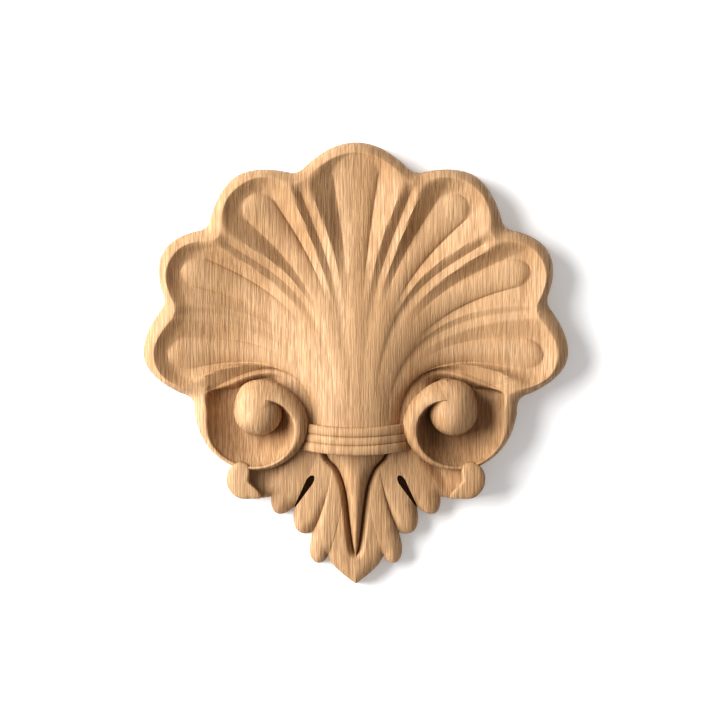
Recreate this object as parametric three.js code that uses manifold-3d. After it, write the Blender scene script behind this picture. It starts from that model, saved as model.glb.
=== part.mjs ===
// Carved wood shell applique: scallop dish, two volutes with ball eyes, band, stem and acanthus leaf.
// Millimetres, +Z up. The flat back lies in the plane y = 0 and the carved front looks along -Y.
// The origin is the middle of the flat back.

import * as THREE from 'three';
import { mergeVertices } from 'three/addons/utils/BufferGeometryUtils.js';
import Module from 'manifold-3d';

// Overall plan size; every place in the plan below is a fraction of the half width.
const PANEL_WIDTH = 150;

// Heights of the carving above the flat back.
const RIM_HEIGHT = 15;
const DISH_FLOOR = 6;
const NECK_CROWN = 21.5;
const NECK_FLANK = 10.5;
const BALL_CROWN = 23;
const BAND_PROUD = 0.5;
const BAND_CROWN = BALL_CROWN + BAND_PROUD;
const LEAF_CROWN = 12;
const LEAF_EDGE = 7;
const STEM_CROWN = 16;
const KNOB_CROWN = 16.2;

// Details of the dish.
const RIM_ROUND_DROP = 5;
const RIM_WALL_WIDTH = 5.5;
const DISH_RISE = 7;
const RIB_RISE = 4.6;
const PETAL_BULGE = 1.7;
const PETAL_INSET = 4.8;
const PETAL_TIP = 6;
const RIB_GROOVE_DEPTH = 2.5;
const SKIRT_CREST = 1.6;
const SKIRT_RISE = 1.1;
const SKIRT_FALL = 9;

// Details of the volutes, band, leaf and stem.
const BALL_DIAMETER = 17;
const BAND_WIDTH = 9.8;
const BAND_WRAP = 16;
const FILLET_BULGE = 0.9;
const ROLL_SEAM = 0.1;
const ROLL_START_SINK = 2.2;
const BOWL_LIP_DROP = 0.3;
const BOWL_SHELF = 2.6;
const SLIT_FLOOR = 3;
const SLIT_WIDTH = 2.6;
const TRENCH_FLOOR = 7;
const TRENCH_WIDTH = 1.2;
const LEAF_ROUND = 4.5;
const VALLEY_DEPTH = 1.4;
const WEB_HEIGHT = 10;
const WEB_SCOOP = 1;
const WEB_EDGE_DROP = 1;

const WOOD_COLOUR = 0xc69b70;
const WOOD_ROUGHNESS = 0.6;

// Fan of the dish, right half: four ribs counted from the middle to the volute.
const RIB_COUNT = 4;
const RIB_ACROSS = [0.268, 0.631, 0.832, 0.705];
const RIB_UP = [0.828, 0.576, 0.24, -0.137];
const RIB_LIFT = [0.719, 0.686, 0.497, 0.411];
const RIB_RUN_OUT = 0.275;
const RIB_TURN = 36;
const LAST_RIB_TURN_BACK = 6;
const NOTCH_ACROSS = [0.275, 0.698, 0.893, 0.77];
const NOTCH_UP = [0.888, 0.632, 0.284, -0.165];
const CREST_ARCH = [0.163, 0.163, 0.161, 0.184];
const CREST_FULLNESS = [2, 2.5, 2.4, 2.3];
const EDGE_ARCH = [0.152, 0.143, 0.13, 0.171];
const EDGE_FULLNESS = [2, 1.85, 2, 1.9];
const NOTCH_SOFTENING = 0.04;
const CREST_SOFTENING = 0.05;
const RIB_TURNS = [0, 0.5, 1.5, 2.5, 3.5];
const PETAL_SHIFT = [0, 0, 0.06, -0.06];
const PETAL_STARTS = [0.1, 1, 1.05, 1.05];
const PETAL_REACH = 0.44;
const RIB_STRENGTH = [1, 1, 0.85, 0.4, 1];
const GROOVE_STRENGTH = [1, 1, 0.85, 0.4, 1.8];
const GROOVE_REACH = 0.87;
const DISH_RISE_REACH = 0.62;
const RIB_FADE = [0.25, 0.68];
const SKIRT_FOOT = 0.7;
const FAN_BASE_UP = -0.33;
const FAN_BASE_HALF = 0.203;
const FAN_LIFT_MIDDLE = 0.723;

// Volute, drawn in units of its eye radius; turns in degrees from straight up, towards the neck.
const EYE_ACROSS = 0.459;
const EYE_UP = -0.229;
const SCROLL_TURN = [-80, -52, -30, 6, 32, 58, 85, 110, 145, 190, 234, 267, 285, 291, 297];
const SCROLL_CREST = [0.1, 0.2, 0.3, 0.46, 0.58, 0.83, 1.24, 1.67, 2.13, 2.37, 2.39, 2.17, 2.26, 2.33, 2.42];
const SCROLL_EDGE = [1.02, 1.14, 1.29, 1.37, 1.45, 1.6, 1.92, 2.23, 2.35, 2.47, 2.55, 2.62, 2.71, 2.88, 3.35];
const SCROLL_RISE = [1, 1, 1, 1, 0.99, 0.97, 0.95, 0.92, 0.81, 0.67, 0.63, 0.64, 0.645, 0.64, 0.6];
const SCROLL_START = 12;
const SCROLL_EDGE_RISE = 0.66;
const SCROLL_SKEW = 10;
const BOWL_FLOOR_RISE = 0.22;
const BALL_SKIRT_RISE = 0.64;
const ROLL_WALL_WIDTH = 0.16;

const HALF = PANEL_WIDTH / 2;
const EYE = BALL_DIAMETER / 2;
const DEGREE = Math.PI / 180;

const mix = (a, b, s) => a + (b - a) * s;
const clamp = (v, low, high) => Math.min(high, Math.max(low, v));
const ease = (low, high, v) => {
  const s = clamp((v - low) / (high - low), 0, 1);
  return s * s * (3 - 2 * s);
};
const dome = (s, power = 2) => Math.sqrt(Math.max(0, 1 - Math.abs(s) ** power));

// Smooth curve through stations (xs, ys), with slopes taken from the neighbours.
function through(xs, ys, x) {
  const last = xs.length - 1;
  const v = clamp(x, xs[0], xs[last]);
  let i = 0;
  while (i < last - 1 && v > xs[i + 1]) i += 1;
  const slope = (k) => {
    const a = Math.max(0, k - 1);
    const b = Math.min(last, k + 1);
    return (ys[b] - ys[a]) / (xs[b] - xs[a]);
  };
  const h = xs[i + 1] - xs[i];
  const s = (v - xs[i]) / h;
  const s2 = s * s;
  const s3 = s2 * s;
  return (2 * s3 - 3 * s2 + 1) * ys[i] + (s3 - 2 * s2 + s) * h * slope(i)
    + (3 * s2 - 2 * s3) * ys[i + 1] + (s3 - s2) * h * slope(i + 1);
}

// A solid from plan points with heights: its own front, walls and flat back at height 0.
// rows is a list of rows of [x, z, height]; a closed row set runs all the way round its last row.
class Solid {
  constructor() {
    this.points = [];
    this.faces = [];
  }

  add(x, z, height) {
    this.points.push([x, -height, z]);
    return this.points.length - 1;
  }

  quad(a, b, c, d) {
    this.faces.push([a, b, c], [a, c, d]);
  }

  // Walls from a loop of front vertices down to the back, and the back itself.
  closeBack(loop) {
    const feet = loop.map((k) => this.add(this.points[k][0], this.points[k][2], 0));
    loop.forEach((k, i) => {
      const n = (i + 1) % loop.length;
      this.quad(k, loop[n], feet[n], feet[i]);
    });
    const plan = feet.map((k) => new THREE.Vector2(this.points[k][0], this.points[k][2]));
    const turned = THREE.ShapeUtils.isClockWise(plan);
    const ring = turned ? [...feet].reverse() : feet;
    const ringPlan = turned ? [...plan].reverse() : plan;
    THREE.ShapeUtils.triangulateShape(ringPlan, []).forEach(([a, b, c]) => {
      this.faces.push(turned ? [ring[a], ring[c], ring[b]] : [ring[a], ring[b], ring[c]]);
    });
  }

  geometry() {
    let volume = 0;
    this.faces.forEach(([a, b, c]) => {
      const p = new THREE.Vector3(...this.points[a]);
      const q = new THREE.Vector3(...this.points[b]);
      const r = new THREE.Vector3(...this.points[c]);
      volume += p.dot(q.cross(r));
    });
    const order = volume < 0 ? [0, 2, 1] : [0, 1, 2];
    const out = new THREE.BufferGeometry();
    const flat = this.points.flat();
    out.setAttribute('position', new THREE.Float32BufferAttribute(flat, 3));
    out.setIndex(this.faces.flatMap((face) => order.map((k) => face[k])));
    return out;
  }
}

// Slab with a carved front given by a rectangle of rows.
function slab(rows) {
  const solid = new Solid();
  const ids = rows.map((row) => row.map(([x, z, height]) => solid.add(x, z, height)));
  const last = ids[0].length - 1;
  for (let i = 0; i + 1 < ids.length; i += 1) {
    for (let j = 0; j < last; j += 1) {
      solid.quad(ids[i][j], ids[i][j + 1], ids[i + 1][j + 1], ids[i + 1][j]);
    }
  }
  const up = ids.slice(1).map((row) => row[last]);
  const back = ids[ids.length - 1].slice(0, last).reverse();
  const down = ids.slice(1, -1).map((row) => row[0]).reverse();
  solid.closeBack([...ids[0], ...up, ...back, ...down].reverse());
  return solid.geometry();
}

// Slab with a carved front given by a middle point and rings round it.
function disc(middle, rings) {
  const solid = new Solid();
  const hub = solid.add(...middle);
  const ids = rings.map((ring) => ring.map(([x, z, height]) => solid.add(x, z, height)));
  const count = ids[0].length;
  for (let j = 0; j < count; j += 1) {
    const n = (j + 1) % count;
    solid.faces.push([hub, ids[0][j], ids[0][n]]);
    for (let i = 0; i + 1 < ids.length; i += 1) {
      solid.quad(ids[i][j], ids[i + 1][j], ids[i + 1][n], ids[i][n]);
    }
  }
  solid.closeBack([...ids[ids.length - 1]].reverse());
  return solid.geometry();
}

// Where a rib, numbered by halves from the middle, ends on the crest of the rim or on the outline.
function corner(number, across, up) {
  const side = number < 0 ? -1 : 1;
  const k = Math.abs(number) - 0.5;
  return [side * across[k] * HALF, up[k] * HALF];
}

// Lobed line round the fan at position u; a lobe lies round each whole number.
function lobedLine(u, across, up, arch, fullness) {
  const lobe = clamp(Math.round(u), 1 - RIB_COUNT, RIB_COUNT - 1);
  const s = u - lobe + 0.5;
  const a = corner(lobe - 0.5, across, up);
  const b = corner(lobe + 0.5, across, up);
  const run = Math.hypot(b[0] - a[0], b[1] - a[1]);
  const out = [-(b[1] - a[1]) / run, (b[0] - a[0]) / run];
  const swell = arch * HALF * (1 - Math.abs(2 * s - 1) ** fullness);
  return [mix(a[0], b[0], s) + out[0] * swell, mix(a[1], b[1], s) + out[1] * swell];
}

// Mean of three neighbouring points of a line, which rounds its corners.
function softened(line, u, reach) {
  const [a, b, c] = [line(u - reach), line(u), line(u + reach)];
  return [(a[0] + b[0] + c[0]) / 3, (a[1] + b[1] + c[1]) / 3];
}

function crestPoint(u) {
  const line = (v) => {
    const k = Math.min(RIB_COUNT - 1, Math.abs(Math.round(v)));
    return lobedLine(v, RIB_ACROSS, RIB_UP, CREST_ARCH[k], CREST_FULLNESS[k]);
  };
  const left = RIB_COUNT - 0.5 - Math.abs(u);
  return softened(line, u, CREST_SOFTENING * clamp(left / 0.15, 0, 1));
}

function edgePoint(u) {
  const end = RIB_COUNT - 0.5;
  const line = (v) => {
    const w = clamp(v, -end, end);
    const k = Math.min(RIB_COUNT - 1, Math.abs(Math.round(w)));
    return lobedLine(w, NOTCH_ACROSS, NOTCH_UP, EDGE_ARCH[k], EDGE_FULLNESS[k]);
  };
  return softened(line, u, NOTCH_SOFTENING);
}

// Ruling line of the fan: t = 0 at the neck, t = 1 on the crest of the rim.
function fanPoint(u, t) {
  const side = Math.sign(u);
  const v = Math.abs(u);
  const lift = through(RIB_TURNS, [FAN_LIFT_MIDDLE, ...RIB_LIFT], v) * HALF;
  const end = crestPoint(u);
  const foot = [(u / (RIB_COUNT - 0.5)) * FAN_BASE_HALF * HALF, FAN_BASE_UP * HALF];
  const lean = (v * RIB_TURN - LAST_RIB_TURN_BACK * ease(2.5, 3.5, v)) * DEGREE;
  const back = RIB_RUN_OUT * HALF;
  const rise = [foot[0], foot[1] + lift];
  const near = [end[0] - side * back * Math.sin(lean), end[1] - back * Math.cos(lean)];
  const q = 1 - t;
  return [0, 1].map((i) => q * q * q * foot[i] + 3 * q * q * t * rise[i]
    + 3 * q * t * t * near[i] + t * t * t * end[i]);
}

// Place across one lobe, from rib to rib as -1 to 1.
function lobePlace(u) {
  const lobe = clamp(Math.round(u), 1 - RIB_COUNT, RIB_COUNT - 1);
  const shift = Math.sign(lobe) * PETAL_SHIFT[Math.abs(lobe)];
  const raw = 2 * (u - lobe);
  return raw - shift * (1 - raw * raw) * 2;
}

// Height of the dish: ribs with a groove along each, and a petal with a rounded end between them.
function dishHeight(u, t) {
  const v = Math.abs(u);
  const x = Math.abs(lobePlace(u));
  const w = 1 - t;
  const end = crestPoint(u);
  const here = fanPoint(u, t);
  const inset = Math.hypot(end[0] - here[0], end[1] - here[1]);
  const last = ease(2.9, 3.3, v);
  const brink = GROOVE_REACH - 0.12 * ease(0, 0.6, w) - 0.15 * last * ease(0, 0.2, w);
  const rib = clamp((x - PETAL_REACH) / (brink - PETAL_REACH), 0, 1) ** (1.2 + last);
  const groove = Math.max(0, (x - brink) / (1 - brink));
  const start = PETAL_INSET * PETAL_STARTS[Math.min(RIB_COUNT - 1, Math.round(v))];
  const tip = Math.max(0, 1 - (inset - start) / PETAL_TIP);
  const petal = Math.max(0, 1 - (x / PETAL_REACH) ** 2 - tip ** 2) ** 0.65 * (1 - 0.6 * last);
  const strength = through(RIB_TURNS, RIB_STRENGTH, v);
  const bite = RIB_GROOVE_DEPTH * through(RIB_TURNS, GROOVE_STRENGTH, v);
  const neck = mix(NECK_FLANK, NECK_CROWN, dome(u / (RIB_COUNT - 0.3)));
  const hollow = Math.max(0, 1 - w / DISH_RISE_REACH) ** 2;
  const plain = mix(DISH_FLOOR, neck, ease(0.3, 1, w)) + DISH_RISE * hollow;
  const fade = 1 - ease(...RIB_FADE, w);
  const ribs = RIB_RISE * strength * rib * (1 - hollow * 0.4) - bite * groove;
  const field = plain + fade * (ribs + PETAL_BULGE * petal);
  const wall = clamp(1 - inset / RIM_WALL_WIDTH, 0, 1) ** 2;
  return mix(field, RIM_HEIGHT, wall);
}

// Columns of the fan: spread so that creases, rib crests and rib grooves each get a line.
function fanColumns() {
  const steps = [0, 0.065, 0.125, 0.2, 0.28, 0.38, 0.5, 0.62, 0.72, 0.8, 0.875, 0.935];
  const list = [];
  for (let lobe = 1 - RIB_COUNT; lobe < RIB_COUNT; lobe += 1) {
    steps.forEach((s) => list.push(lobe - 0.5 + s));
  }
  list.push(RIB_COUNT - 0.5);
  return list;
}

// Plan point of one side, from fractions of the half width.
const at = (side, across, up) => [side * across * HALF, up * HALF];

const eyePoint = (side) => at(side, EYE_ACROSS, EYE_UP);

const FAN_ROWS = 12;

// Rows of the fan bunch up towards the crest of the rim.
const fanRow = (i) => 1 - (1 - i / FAN_ROWS) ** 1.35;

// Skirt of the last rib: its second crest, then the fall to the bowl of the volute.
function skirtGeometry(side) {
  const eye = eyePoint(side);
  const end = side * (RIB_COUNT - 0.5);
  const pulls = [-0.75, 0, 1, 2.2, 3.4, 4.6];
  const drops = [-0.09, 0, 1, -0.29, -0.78, -1];
  const low = BALL_CROWN * BOWL_FLOOR_RISE * SKIRT_FOOT;
  const rows = [];
  for (let i = 0; i <= FAN_ROWS; i += 1) {
    const t = fanRow(i);
    const [x, z] = fanPoint(end, t);
    const height = dishHeight(end, t);
    const narrow = 1 - 0.75 * ease(0.84, 1, t);
    const near = (narrow * SKIRT_CREST) / Math.hypot(eye[0] - x, eye[1] - z);
    const rise = SKIRT_RISE * (1 - ease(...RIB_FADE, 1 - t)) * (1 - ease(0.78, 0.97, t));
    const fall = SKIRT_FALL * ease(0.3, 0.66, t);
    rows.push(pulls.map((pull, k) => [
      mix(x, eye[0], pull * near),
      mix(z, eye[1], pull * near),
      Math.max(low, height + drops[k] * (drops[k] > 0 ? rise : fall)),
    ]));
  }
  return slab(rows);
}

function shellGeometry() {
  const rimRounds = [0.35, 0.7, 1];
  const columns = fanColumns().map((u) => {
    const column = [];
    for (let i = 0; i <= FAN_ROWS; i += 1) {
      const t = fanRow(i);
      const [x, z] = fanPoint(u, t);
      column.push([x, z, dishHeight(u, t)]);
    }
    const crest = crestPoint(u);
    const edge = edgePoint(u);
    rimRounds.forEach((s) => {
      column.push([mix(crest[0], edge[0], s), mix(crest[1], edge[1], s),
        RIM_HEIGHT - RIM_ROUND_DROP * (1 - dome(s, 1.4))]);
    });
    return column;
  });
  return slab(columns[0].map((_, i) => columns.map((column) => column[i])));
}

// Point of the volute at a turn and a distance in eye radii.
function volutePoint(side, turn, radius) {
  const eye = eyePoint(side);
  const angle = turn * DEGREE;
  return [eye[0] - side * Math.sin(angle) * radius * EYE, eye[1] + Math.cos(angle) * radius * EYE];
}

const scrollCrest = (turn) => through(SCROLL_TURN, SCROLL_CREST, turn);
const scrollEdge = (turn) => through(SCROLL_TURN, SCROLL_EDGE, turn);
const scrollHeight = (turn) => BALL_CROWN * through(SCROLL_TURN, SCROLL_RISE, turn);

// The rolled rim, swept along the spiral from the eye to the last notch of the shell.
function scrollGeometry(side) {
  const solid = new Solid();
  const stations = 38;
  const first = SCROLL_START;
  const whole = SCROLL_TURN[SCROLL_TURN.length - 1] - first;
  const rounds = [0, 0.4, 0.75, 1];
  const floor = BALL_CROWN * BOWL_FLOOR_RISE;
  const sections = [];
  for (let i = 0; i <= stations; i += 1) {
    const turn = first + (whole * i) / stations;
    const crest = scrollCrest(turn);
    const edge = scrollEdge(turn);
    const top = scrollHeight(turn);
    const foot = Math.max(0.05, crest - ROLL_WALL_WIDTH);
    const sunk = ROLL_START_SINK * (1 - ease(14, 34, turn));
    const skew = SCROLL_SKEW * ease(250, 291, turn);
    const spot = (radius, height, s = 0) => {
      return solid.add(...volutePoint(side, turn - s * skew, radius), height);
    };
    const ring = [spot(foot, 0), spot(foot, floor * 0.8), spot(mix(foot, crest, 0.6), top * 0.97 - sunk)];
    rounds.forEach((s) => {
      const radius = mix(crest, edge, s);
      const q = mix(radius / edge, s, ease(15, 75, turn));
      const height = mix(top * SCROLL_EDGE_RISE, top, s > 0 ? dome(q) : 1);
      ring.push(spot(radius, height - ROLL_SEAM - sunk * (1 - s), s));
    });
    ring.push(spot(edge, 0, 1));
    sections.push(ring);
  }
  const count = sections[0].length;
  for (let i = 0; i < stations; i += 1) {
    for (let j = 0; j < count; j += 1) {
      const n = (j + 1) % count;
      solid.quad(sections[i][j], sections[i][n], sections[i + 1][n], sections[i + 1][j]);
    }
  }
  const cap = (ring, turned) => {
    for (let j = 1; j + 1 < count; j += 1) {
      const face = [ring[0], ring[j], ring[j + 1]];
      solid.faces.push(turned ? face : face.reverse());
    }
  };
  cap(sections[0], false);
  cap(sections[stations], true);
  return solid.geometry();
}

// Turns between which the bowl's edge meets the roll, leaves it, falls to a shelf and closes again.
const BOWL_START = 35;
const BOWL_MEETS = [40, 75];
const BOWL_LEAVES = [275, 300];
const BOWL_FALLS = [265, 300];
const BOWL_SHELF_ENDS = [335, 365];
const BOWL_CLOSES = [370, 390];
const BOWL_CLOSE_REACH = 1.2;
const BOWL_OPEN_REACH = 2.3;
const BOWL_FLAT = 0.35;

// Hollow floor between the ball and the rolled rim.
function bowlGeometry(side) {
  const spokes = 36;
  const floor = BALL_CROWN * BOWL_FLOOR_RISE;
  const reach = (turn) => {
    const closing = mix(BOWL_CLOSE_REACH, scrollCrest(turn), ease(...BOWL_MEETS, turn));
    const open = mix(closing, BOWL_OPEN_REACH, ease(...BOWL_LEAVES, turn));
    return mix(open, BOWL_CLOSE_REACH, ease(...BOWL_CLOSES, turn));
  };
  const lip = (turn) => {
    const top = scrollHeight(turn) - BOWL_LIP_DROP;
    const wall = mix(top, floor + BOWL_SHELF, ease(...BOWL_FALLS, turn));
    return mix(mix(floor, wall, ease(...BOWL_MEETS, turn)), floor, ease(...BOWL_SHELF_ENDS, turn));
  };
  const rings = [BOWL_FLAT, 0.6, 0.78, 0.91, 1].map((s) => {
    const ring = [];
    for (let k = 0; k < spokes; k += 1) {
      const turn = BOWL_START + (360 * k) / spokes;
      const rise = clamp((s - BOWL_FLAT) / (1 - BOWL_FLAT), 0, 1) ** 2.2;
      ring.push([...volutePoint(side, turn, s * reach(turn)), mix(floor, lip(turn), rise)]);
    }
    return ring;
  });
  return disc([...eyePoint(side), floor], rings);
}

// Ball eye; on the upper side it swells out into the beginning of the roll.
function ballGeometry(side) {
  const spokes = 24;
  const rounds = 4;
  const reach = (turn) => {
    const swell = mix(1, scrollEdge(turn) * 0.985, ease(-110, -85, turn));
    return mix(swell, 1, ease(30, 65, turn));
  };
  const rings = [];
  for (let i = 1; i <= rounds; i += 1) {
    const bend = (90 * DEGREE * i) / rounds;
    const ring = [];
    for (let k = 0; k < spokes; k += 1) {
      const turn = (360 * k) / spokes - 120;
      ring.push([...volutePoint(side, turn, reach(turn) * Math.sin(bend)),
        BALL_CROWN * mix(BALL_SKIRT_RISE, 1, Math.cos(bend))]);
    }
    rings.push(ring);
  }
  return disc([...eyePoint(side), BALL_CROWN], rings);
}

// Curled knob at the outer end of the leaf: distances from its centre against the turn from outward,
// with a toe that curls in under it; its top leans inward, so that the inner side falls steeply.
const KNOB_CENTRE = [0.549, -0.555];
const KNOB_TURN = [0, 48, 90, 120, 150, 180, 200, 208, 217, 231, 245, 270, 310, 360];
const KNOB_REACH = [
  0.058, 0.072, 0.089, 0.087, 0.059, 0.051, 0.072, 0.11, 0.131, 0.107, 0.093, 0.081, 0.064, 0.058,
];
const KNOB_LEAN = 0.03;
const KNOB_SKIRT = 0.85;

function knobGeometry(side) {
  const spokes = 30;
  const rounds = 4;
  const rings = [];
  for (let i = 1; i <= rounds; i += 1) {
    const bend = (90 * DEGREE * i) / rounds;
    const far = Math.sin(bend);
    const height = KNOB_CROWN * mix(KNOB_SKIRT, 1, Math.max(0, Math.cos(bend)) ** 0.6);
    const ring = [];
    for (let k = 0; k < spokes; k += 1) {
      const turn = (360 * k) / spokes;
      const reach = through(KNOB_TURN, KNOB_REACH, turn) * far;
      const across = reach * Math.cos(turn * DEGREE) - KNOB_LEAN * (1 - far);
      const up = reach * Math.sin(turn * DEGREE);
      ring.push([...at(side, KNOB_CENTRE[0] + across, KNOB_CENTRE[1] + up), height]);
    }
    rings.push(ring);
  }
  return disc([...at(side, KNOB_CENTRE[0] - KNOB_LEAN, KNOB_CENTRE[1]), KNOB_CROWN], rings);
}

// Band of three fillets that ties the neck, bowed down in the middle.
const BAND_TOP_UP = -0.277;
const BAND_HALF = 0.262;
const BAND_SAG = 0.026;

function bandGeometry() {
  const steps = 16;
  const fillets = [0.35, 0.3, 0.35];
  const rounds = [0, 0.06, 0.5, 0.94];
  const rows = [];
  const reach = BAND_HALF * HALF;
  const section = [[0, 0]];
  let from = 0;
  fillets.forEach((part, k) => {
    rounds.forEach((s) => {
      const proud = k === 1 ? 0.75 : 1;
      const bulge = s === 0 ? 0 : 0.45 + 0.55 * Math.sin(Math.PI * s);
      section.push([from + part * s, FILLET_BULGE * bulge * proud]);
    });
    from += part;
  });
  section.push([1, 0]);
  section.forEach(([down, bulge]) => {
    const row = [];
    for (let i = 0; i <= steps; i += 1) {
      const s = (2 * i) / steps - 1;
      const z = BAND_TOP_UP * HALF + BAND_SAG * HALF * (s * s - 1) - down * BAND_WIDTH;
      const height = BAND_CROWN - FILLET_BULGE - BAND_WRAP * (1 - dome(s * 0.95)) + bulge;
      row.push([s * reach, z, height]);
    }
    rows.push(row);
  });
  return slab(rows.slice(1));
}

// Leaf, right half: notches of its outline from the tip to the knob, as fractions of the half width.
const LEAF_NOTCH_ACROSS = [0, 0.131, 0.202, 0.287, 0.399, 0.529];
const LEAF_NOTCH_UP = [-1.04, -0.905, -0.795, -0.674, -0.629, -0.638];
const LEAF_ROOT_ACROSS = [0, 0.05, 0.1, 0.16, 0.26, 0.51];
const LEAF_ROOT_UP = [-0.36, -0.36, -0.36, -0.37, -0.38, -0.475];
const LEAF_LEAN = [0, 22, 27, 27, 23, 8];

// Handles of each lobe of the leaf, at the notch nearer to the tip and at the one nearer to the knob.
const LOBE_NEAR = [[0.034, 0.024], [0.022, -0.068], [0.045, -0.022], [0.04, -0.042], [0.038, -0.009]];
const LOBE_FAR = [[-0.019, -0.06], [0.056, -0.16], [0.028, -0.132], [0.006, -0.118], [-0.038, -0.002]];
const LEAF_LOBES = LOBE_NEAR.length;
const WEB_LOBE = 4;
const SOFT_VALLEY = 2;

// Cubic curve from a to d with handle points b and c.
function bezier(a, b, c, d, t) {
  const q = 1 - t;
  return [0, 1].map((i) => q * q * q * a[i] + 3 * q * q * t * b[i]
    + 3 * q * t * t * c[i] + t * t * t * d[i]);
}

// Outline of the leaf at position v: 0 at the tip, whole numbers at the notches.
function leafEdge(v) {
  const lobe = Math.min(LEAF_LOBES - 1, Math.floor(v));
  const notch = (k) => [LEAF_NOTCH_ACROSS[k], LEAF_NOTCH_UP[k]];
  const from = notch(lobe);
  const to = notch(lobe + 1);
  const near = [from[0] + LOBE_NEAR[lobe][0], from[1] + LOBE_NEAR[lobe][1]];
  const far = [to[0] + LOBE_FAR[lobe][0], to[1] + LOBE_FAR[lobe][1]];
  return bezier(from, near, far, to, v - lobe).map((part) => part * HALF);
}

// Flow line of the leaf: t = 0 under the band, t = 1 on the outline.
function leafPoint(v, t) {
  const notches = LEAF_NOTCH_ACROSS.map((_, k) => k);
  const root = [LEAF_ROOT_ACROSS, LEAF_ROOT_UP].map((line) => through(notches, line, v) * HALF);
  const end = leafEdge(v);
  const lean = through(notches, LEAF_LEAN, v) * DEGREE;
  const arm = 0.45 * Math.hypot(end[0] - root[0], end[1] - root[1]);
  const bend = [end[0] - arm * Math.sin(lean), end[1] + arm * Math.cos(lean)];
  const q = 1 - t;
  return [0, 1].map((i) => q * q * root[i] + 2 * q * t * bend[i] + t * t * end[i]);
}

function leafHeight(v, t, inset) {
  const lobe = LEAF_CROWN * mix(1.12, 0.8, t);
  const web = WEB_HEIGHT - WEB_SCOOP * Math.sin(Math.PI * clamp(v - WEB_LOBE, 0, 1));
  const crown = mix(lobe, web, ease(WEB_LOBE - 0.12, WEB_LOBE + 0.4, v));
  const apart = Math.max(0, 1 - Math.abs(v - SOFT_VALLEY) / 0.35);
  const valley = VALLEY_DEPTH * apart * apart * ease(0.35, 0.9, t);
  const edge = Math.min(LEAF_EDGE, web - WEB_EDGE_DROP);
  return mix(edge, crown - valley, dome(Math.max(0, 1 - inset / LEAF_ROUND)));
}

function leafGeometry() {
  const steps = [0, 0.1, 0.24, 0.4, 0.56, 0.72, 0.88];
  const right = [];
  for (let lobe = 0; lobe < LEAF_LOBES; lobe += 1) {
    steps.forEach((s) => right.push(lobe + s));
  }
  right.push(LEAF_LOBES);
  const outline = right.map((v) => leafEdge(v));
  const inset = (p) => outline.reduce((least, a, k) => {
    if (k === 0) return least;
    const b = outline[k - 1];
    const run = [b[0] - a[0], b[1] - a[1]];
    const length = run[0] * run[0] + run[1] * run[1];
    const s = clamp(((p[0] - a[0]) * run[0] + (p[1] - a[1]) * run[1]) / length, 0, 1);
    return Math.min(least, Math.hypot(a[0] + run[0] * s - p[0], a[1] + run[1] * s - p[1]));
  }, HALF);
  const count = 8;
  const rows = [];
  for (let i = 0; i <= count; i += 1) {
    const t = 1 - (1 - i / count) ** 1.6;
    const half = right.map((v) => {
      const p = leafPoint(v, t);
      return [...p, leafHeight(v, t, i === count ? 0 : inset(p))];
    });
    const left = half.slice(1).reverse().map(([x, z, height]) => [-x, z, height]);
    rows.push([...left, ...half]);
  }
  return slab(rows);
}

// Tapered stem down the middle of the leaf, and the trench round it.
const STEM_TIP_UP = -0.913;
const STEM_UNDER_BAND = 0.7;
const STEM_STATIONS = [0, 0.1, 0.2, 0.38, 0.68, 0.88, 1];
const STEM_WIDTHS = [0.15, 0.13, 0.084, 0.049, 0.028, 0.015, 0.003];
const STEM_CROWNS = [1.1, 1.05, 1, 0.92, 0.78, 0.66, 0.55];

function stemTop() {
  return (BAND_TOP_UP - BAND_SAG) * HALF - BAND_WIDTH * STEM_UNDER_BAND;
}

function stemGeometry(extra, floor, flatTop) {
  const top = stemTop();
  const length = top - STEM_TIP_UP * HALF + (extra > 0 ? extra : 0);
  const across = flatTop ? [-1, 1] : [-1, -0.85, -0.5, 0, 0.5, 0.85, 1];
  const count = 18;
  const rows = [];
  for (let i = 0; i <= count; i += 1) {
    const s = i / count;
    const width = through(STEM_STATIONS, STEM_WIDTHS, s) * HALF + extra * (1 - ease(0.8, 1, s) * 0.9);
    const crown = flatTop ? floor : STEM_CROWN * through(STEM_STATIONS, STEM_CROWNS, s);
    rows.push(across.map((v) => [v * width, top - s * length,
      flatTop ? crown : mix(crown * 0.6, crown, dome(v, 2))]));
  }
  return slab(rows);
}

// Teardrop slit between the first two lobes of the leaf.
const SLIT_HEAD = [0.2, -0.529];
const SLIT_TAIL = [0.292, -0.685];

function slitPlan(side) {
  const head = at(side, ...SLIT_HEAD);
  const tail = at(side, ...SLIT_TAIL);
  const run = Math.hypot(tail[0] - head[0], tail[1] - head[1]);
  const ahead = [(tail[0] - head[0]) / run, (tail[1] - head[1]) / run];
  const aside = [-ahead[1], ahead[0]];
  const steps = 12;
  const left = [];
  const right = [];
  for (let i = 0; i <= steps; i += 1) {
    const s = i / steps;
    const taper = s < 0.2 ? Math.max(0.3, dome(1 - s / 0.2)) : mix(1, 0.12, (s - 0.2) / 0.8);
    const width = (SLIT_WIDTH / 2) * taper;
    const p = [head[0] + ahead[0] * run * s, head[1] + ahead[1] * run * s];
    left.push([p[0] + aside[0] * width, p[1] + aside[1] * width]);
    right.push([p[0] - aside[0] * width, p[1] - aside[1] * width]);
  }
  return [left, right];
}

function slitGeometry(side) {
  const [left, right] = slitPlan(side);
  return slab(left.map((p, i) => [[...p, 1], [...right[i], 1]]));
}

function lifted(geometry, depth, height) {
  const moved = geometry.clone();
  moved.scale(1, height, 1);
  moved.translate(0, -depth, 0);
  return moved;
}

const wasm = await Module();
wasm.setup();

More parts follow.
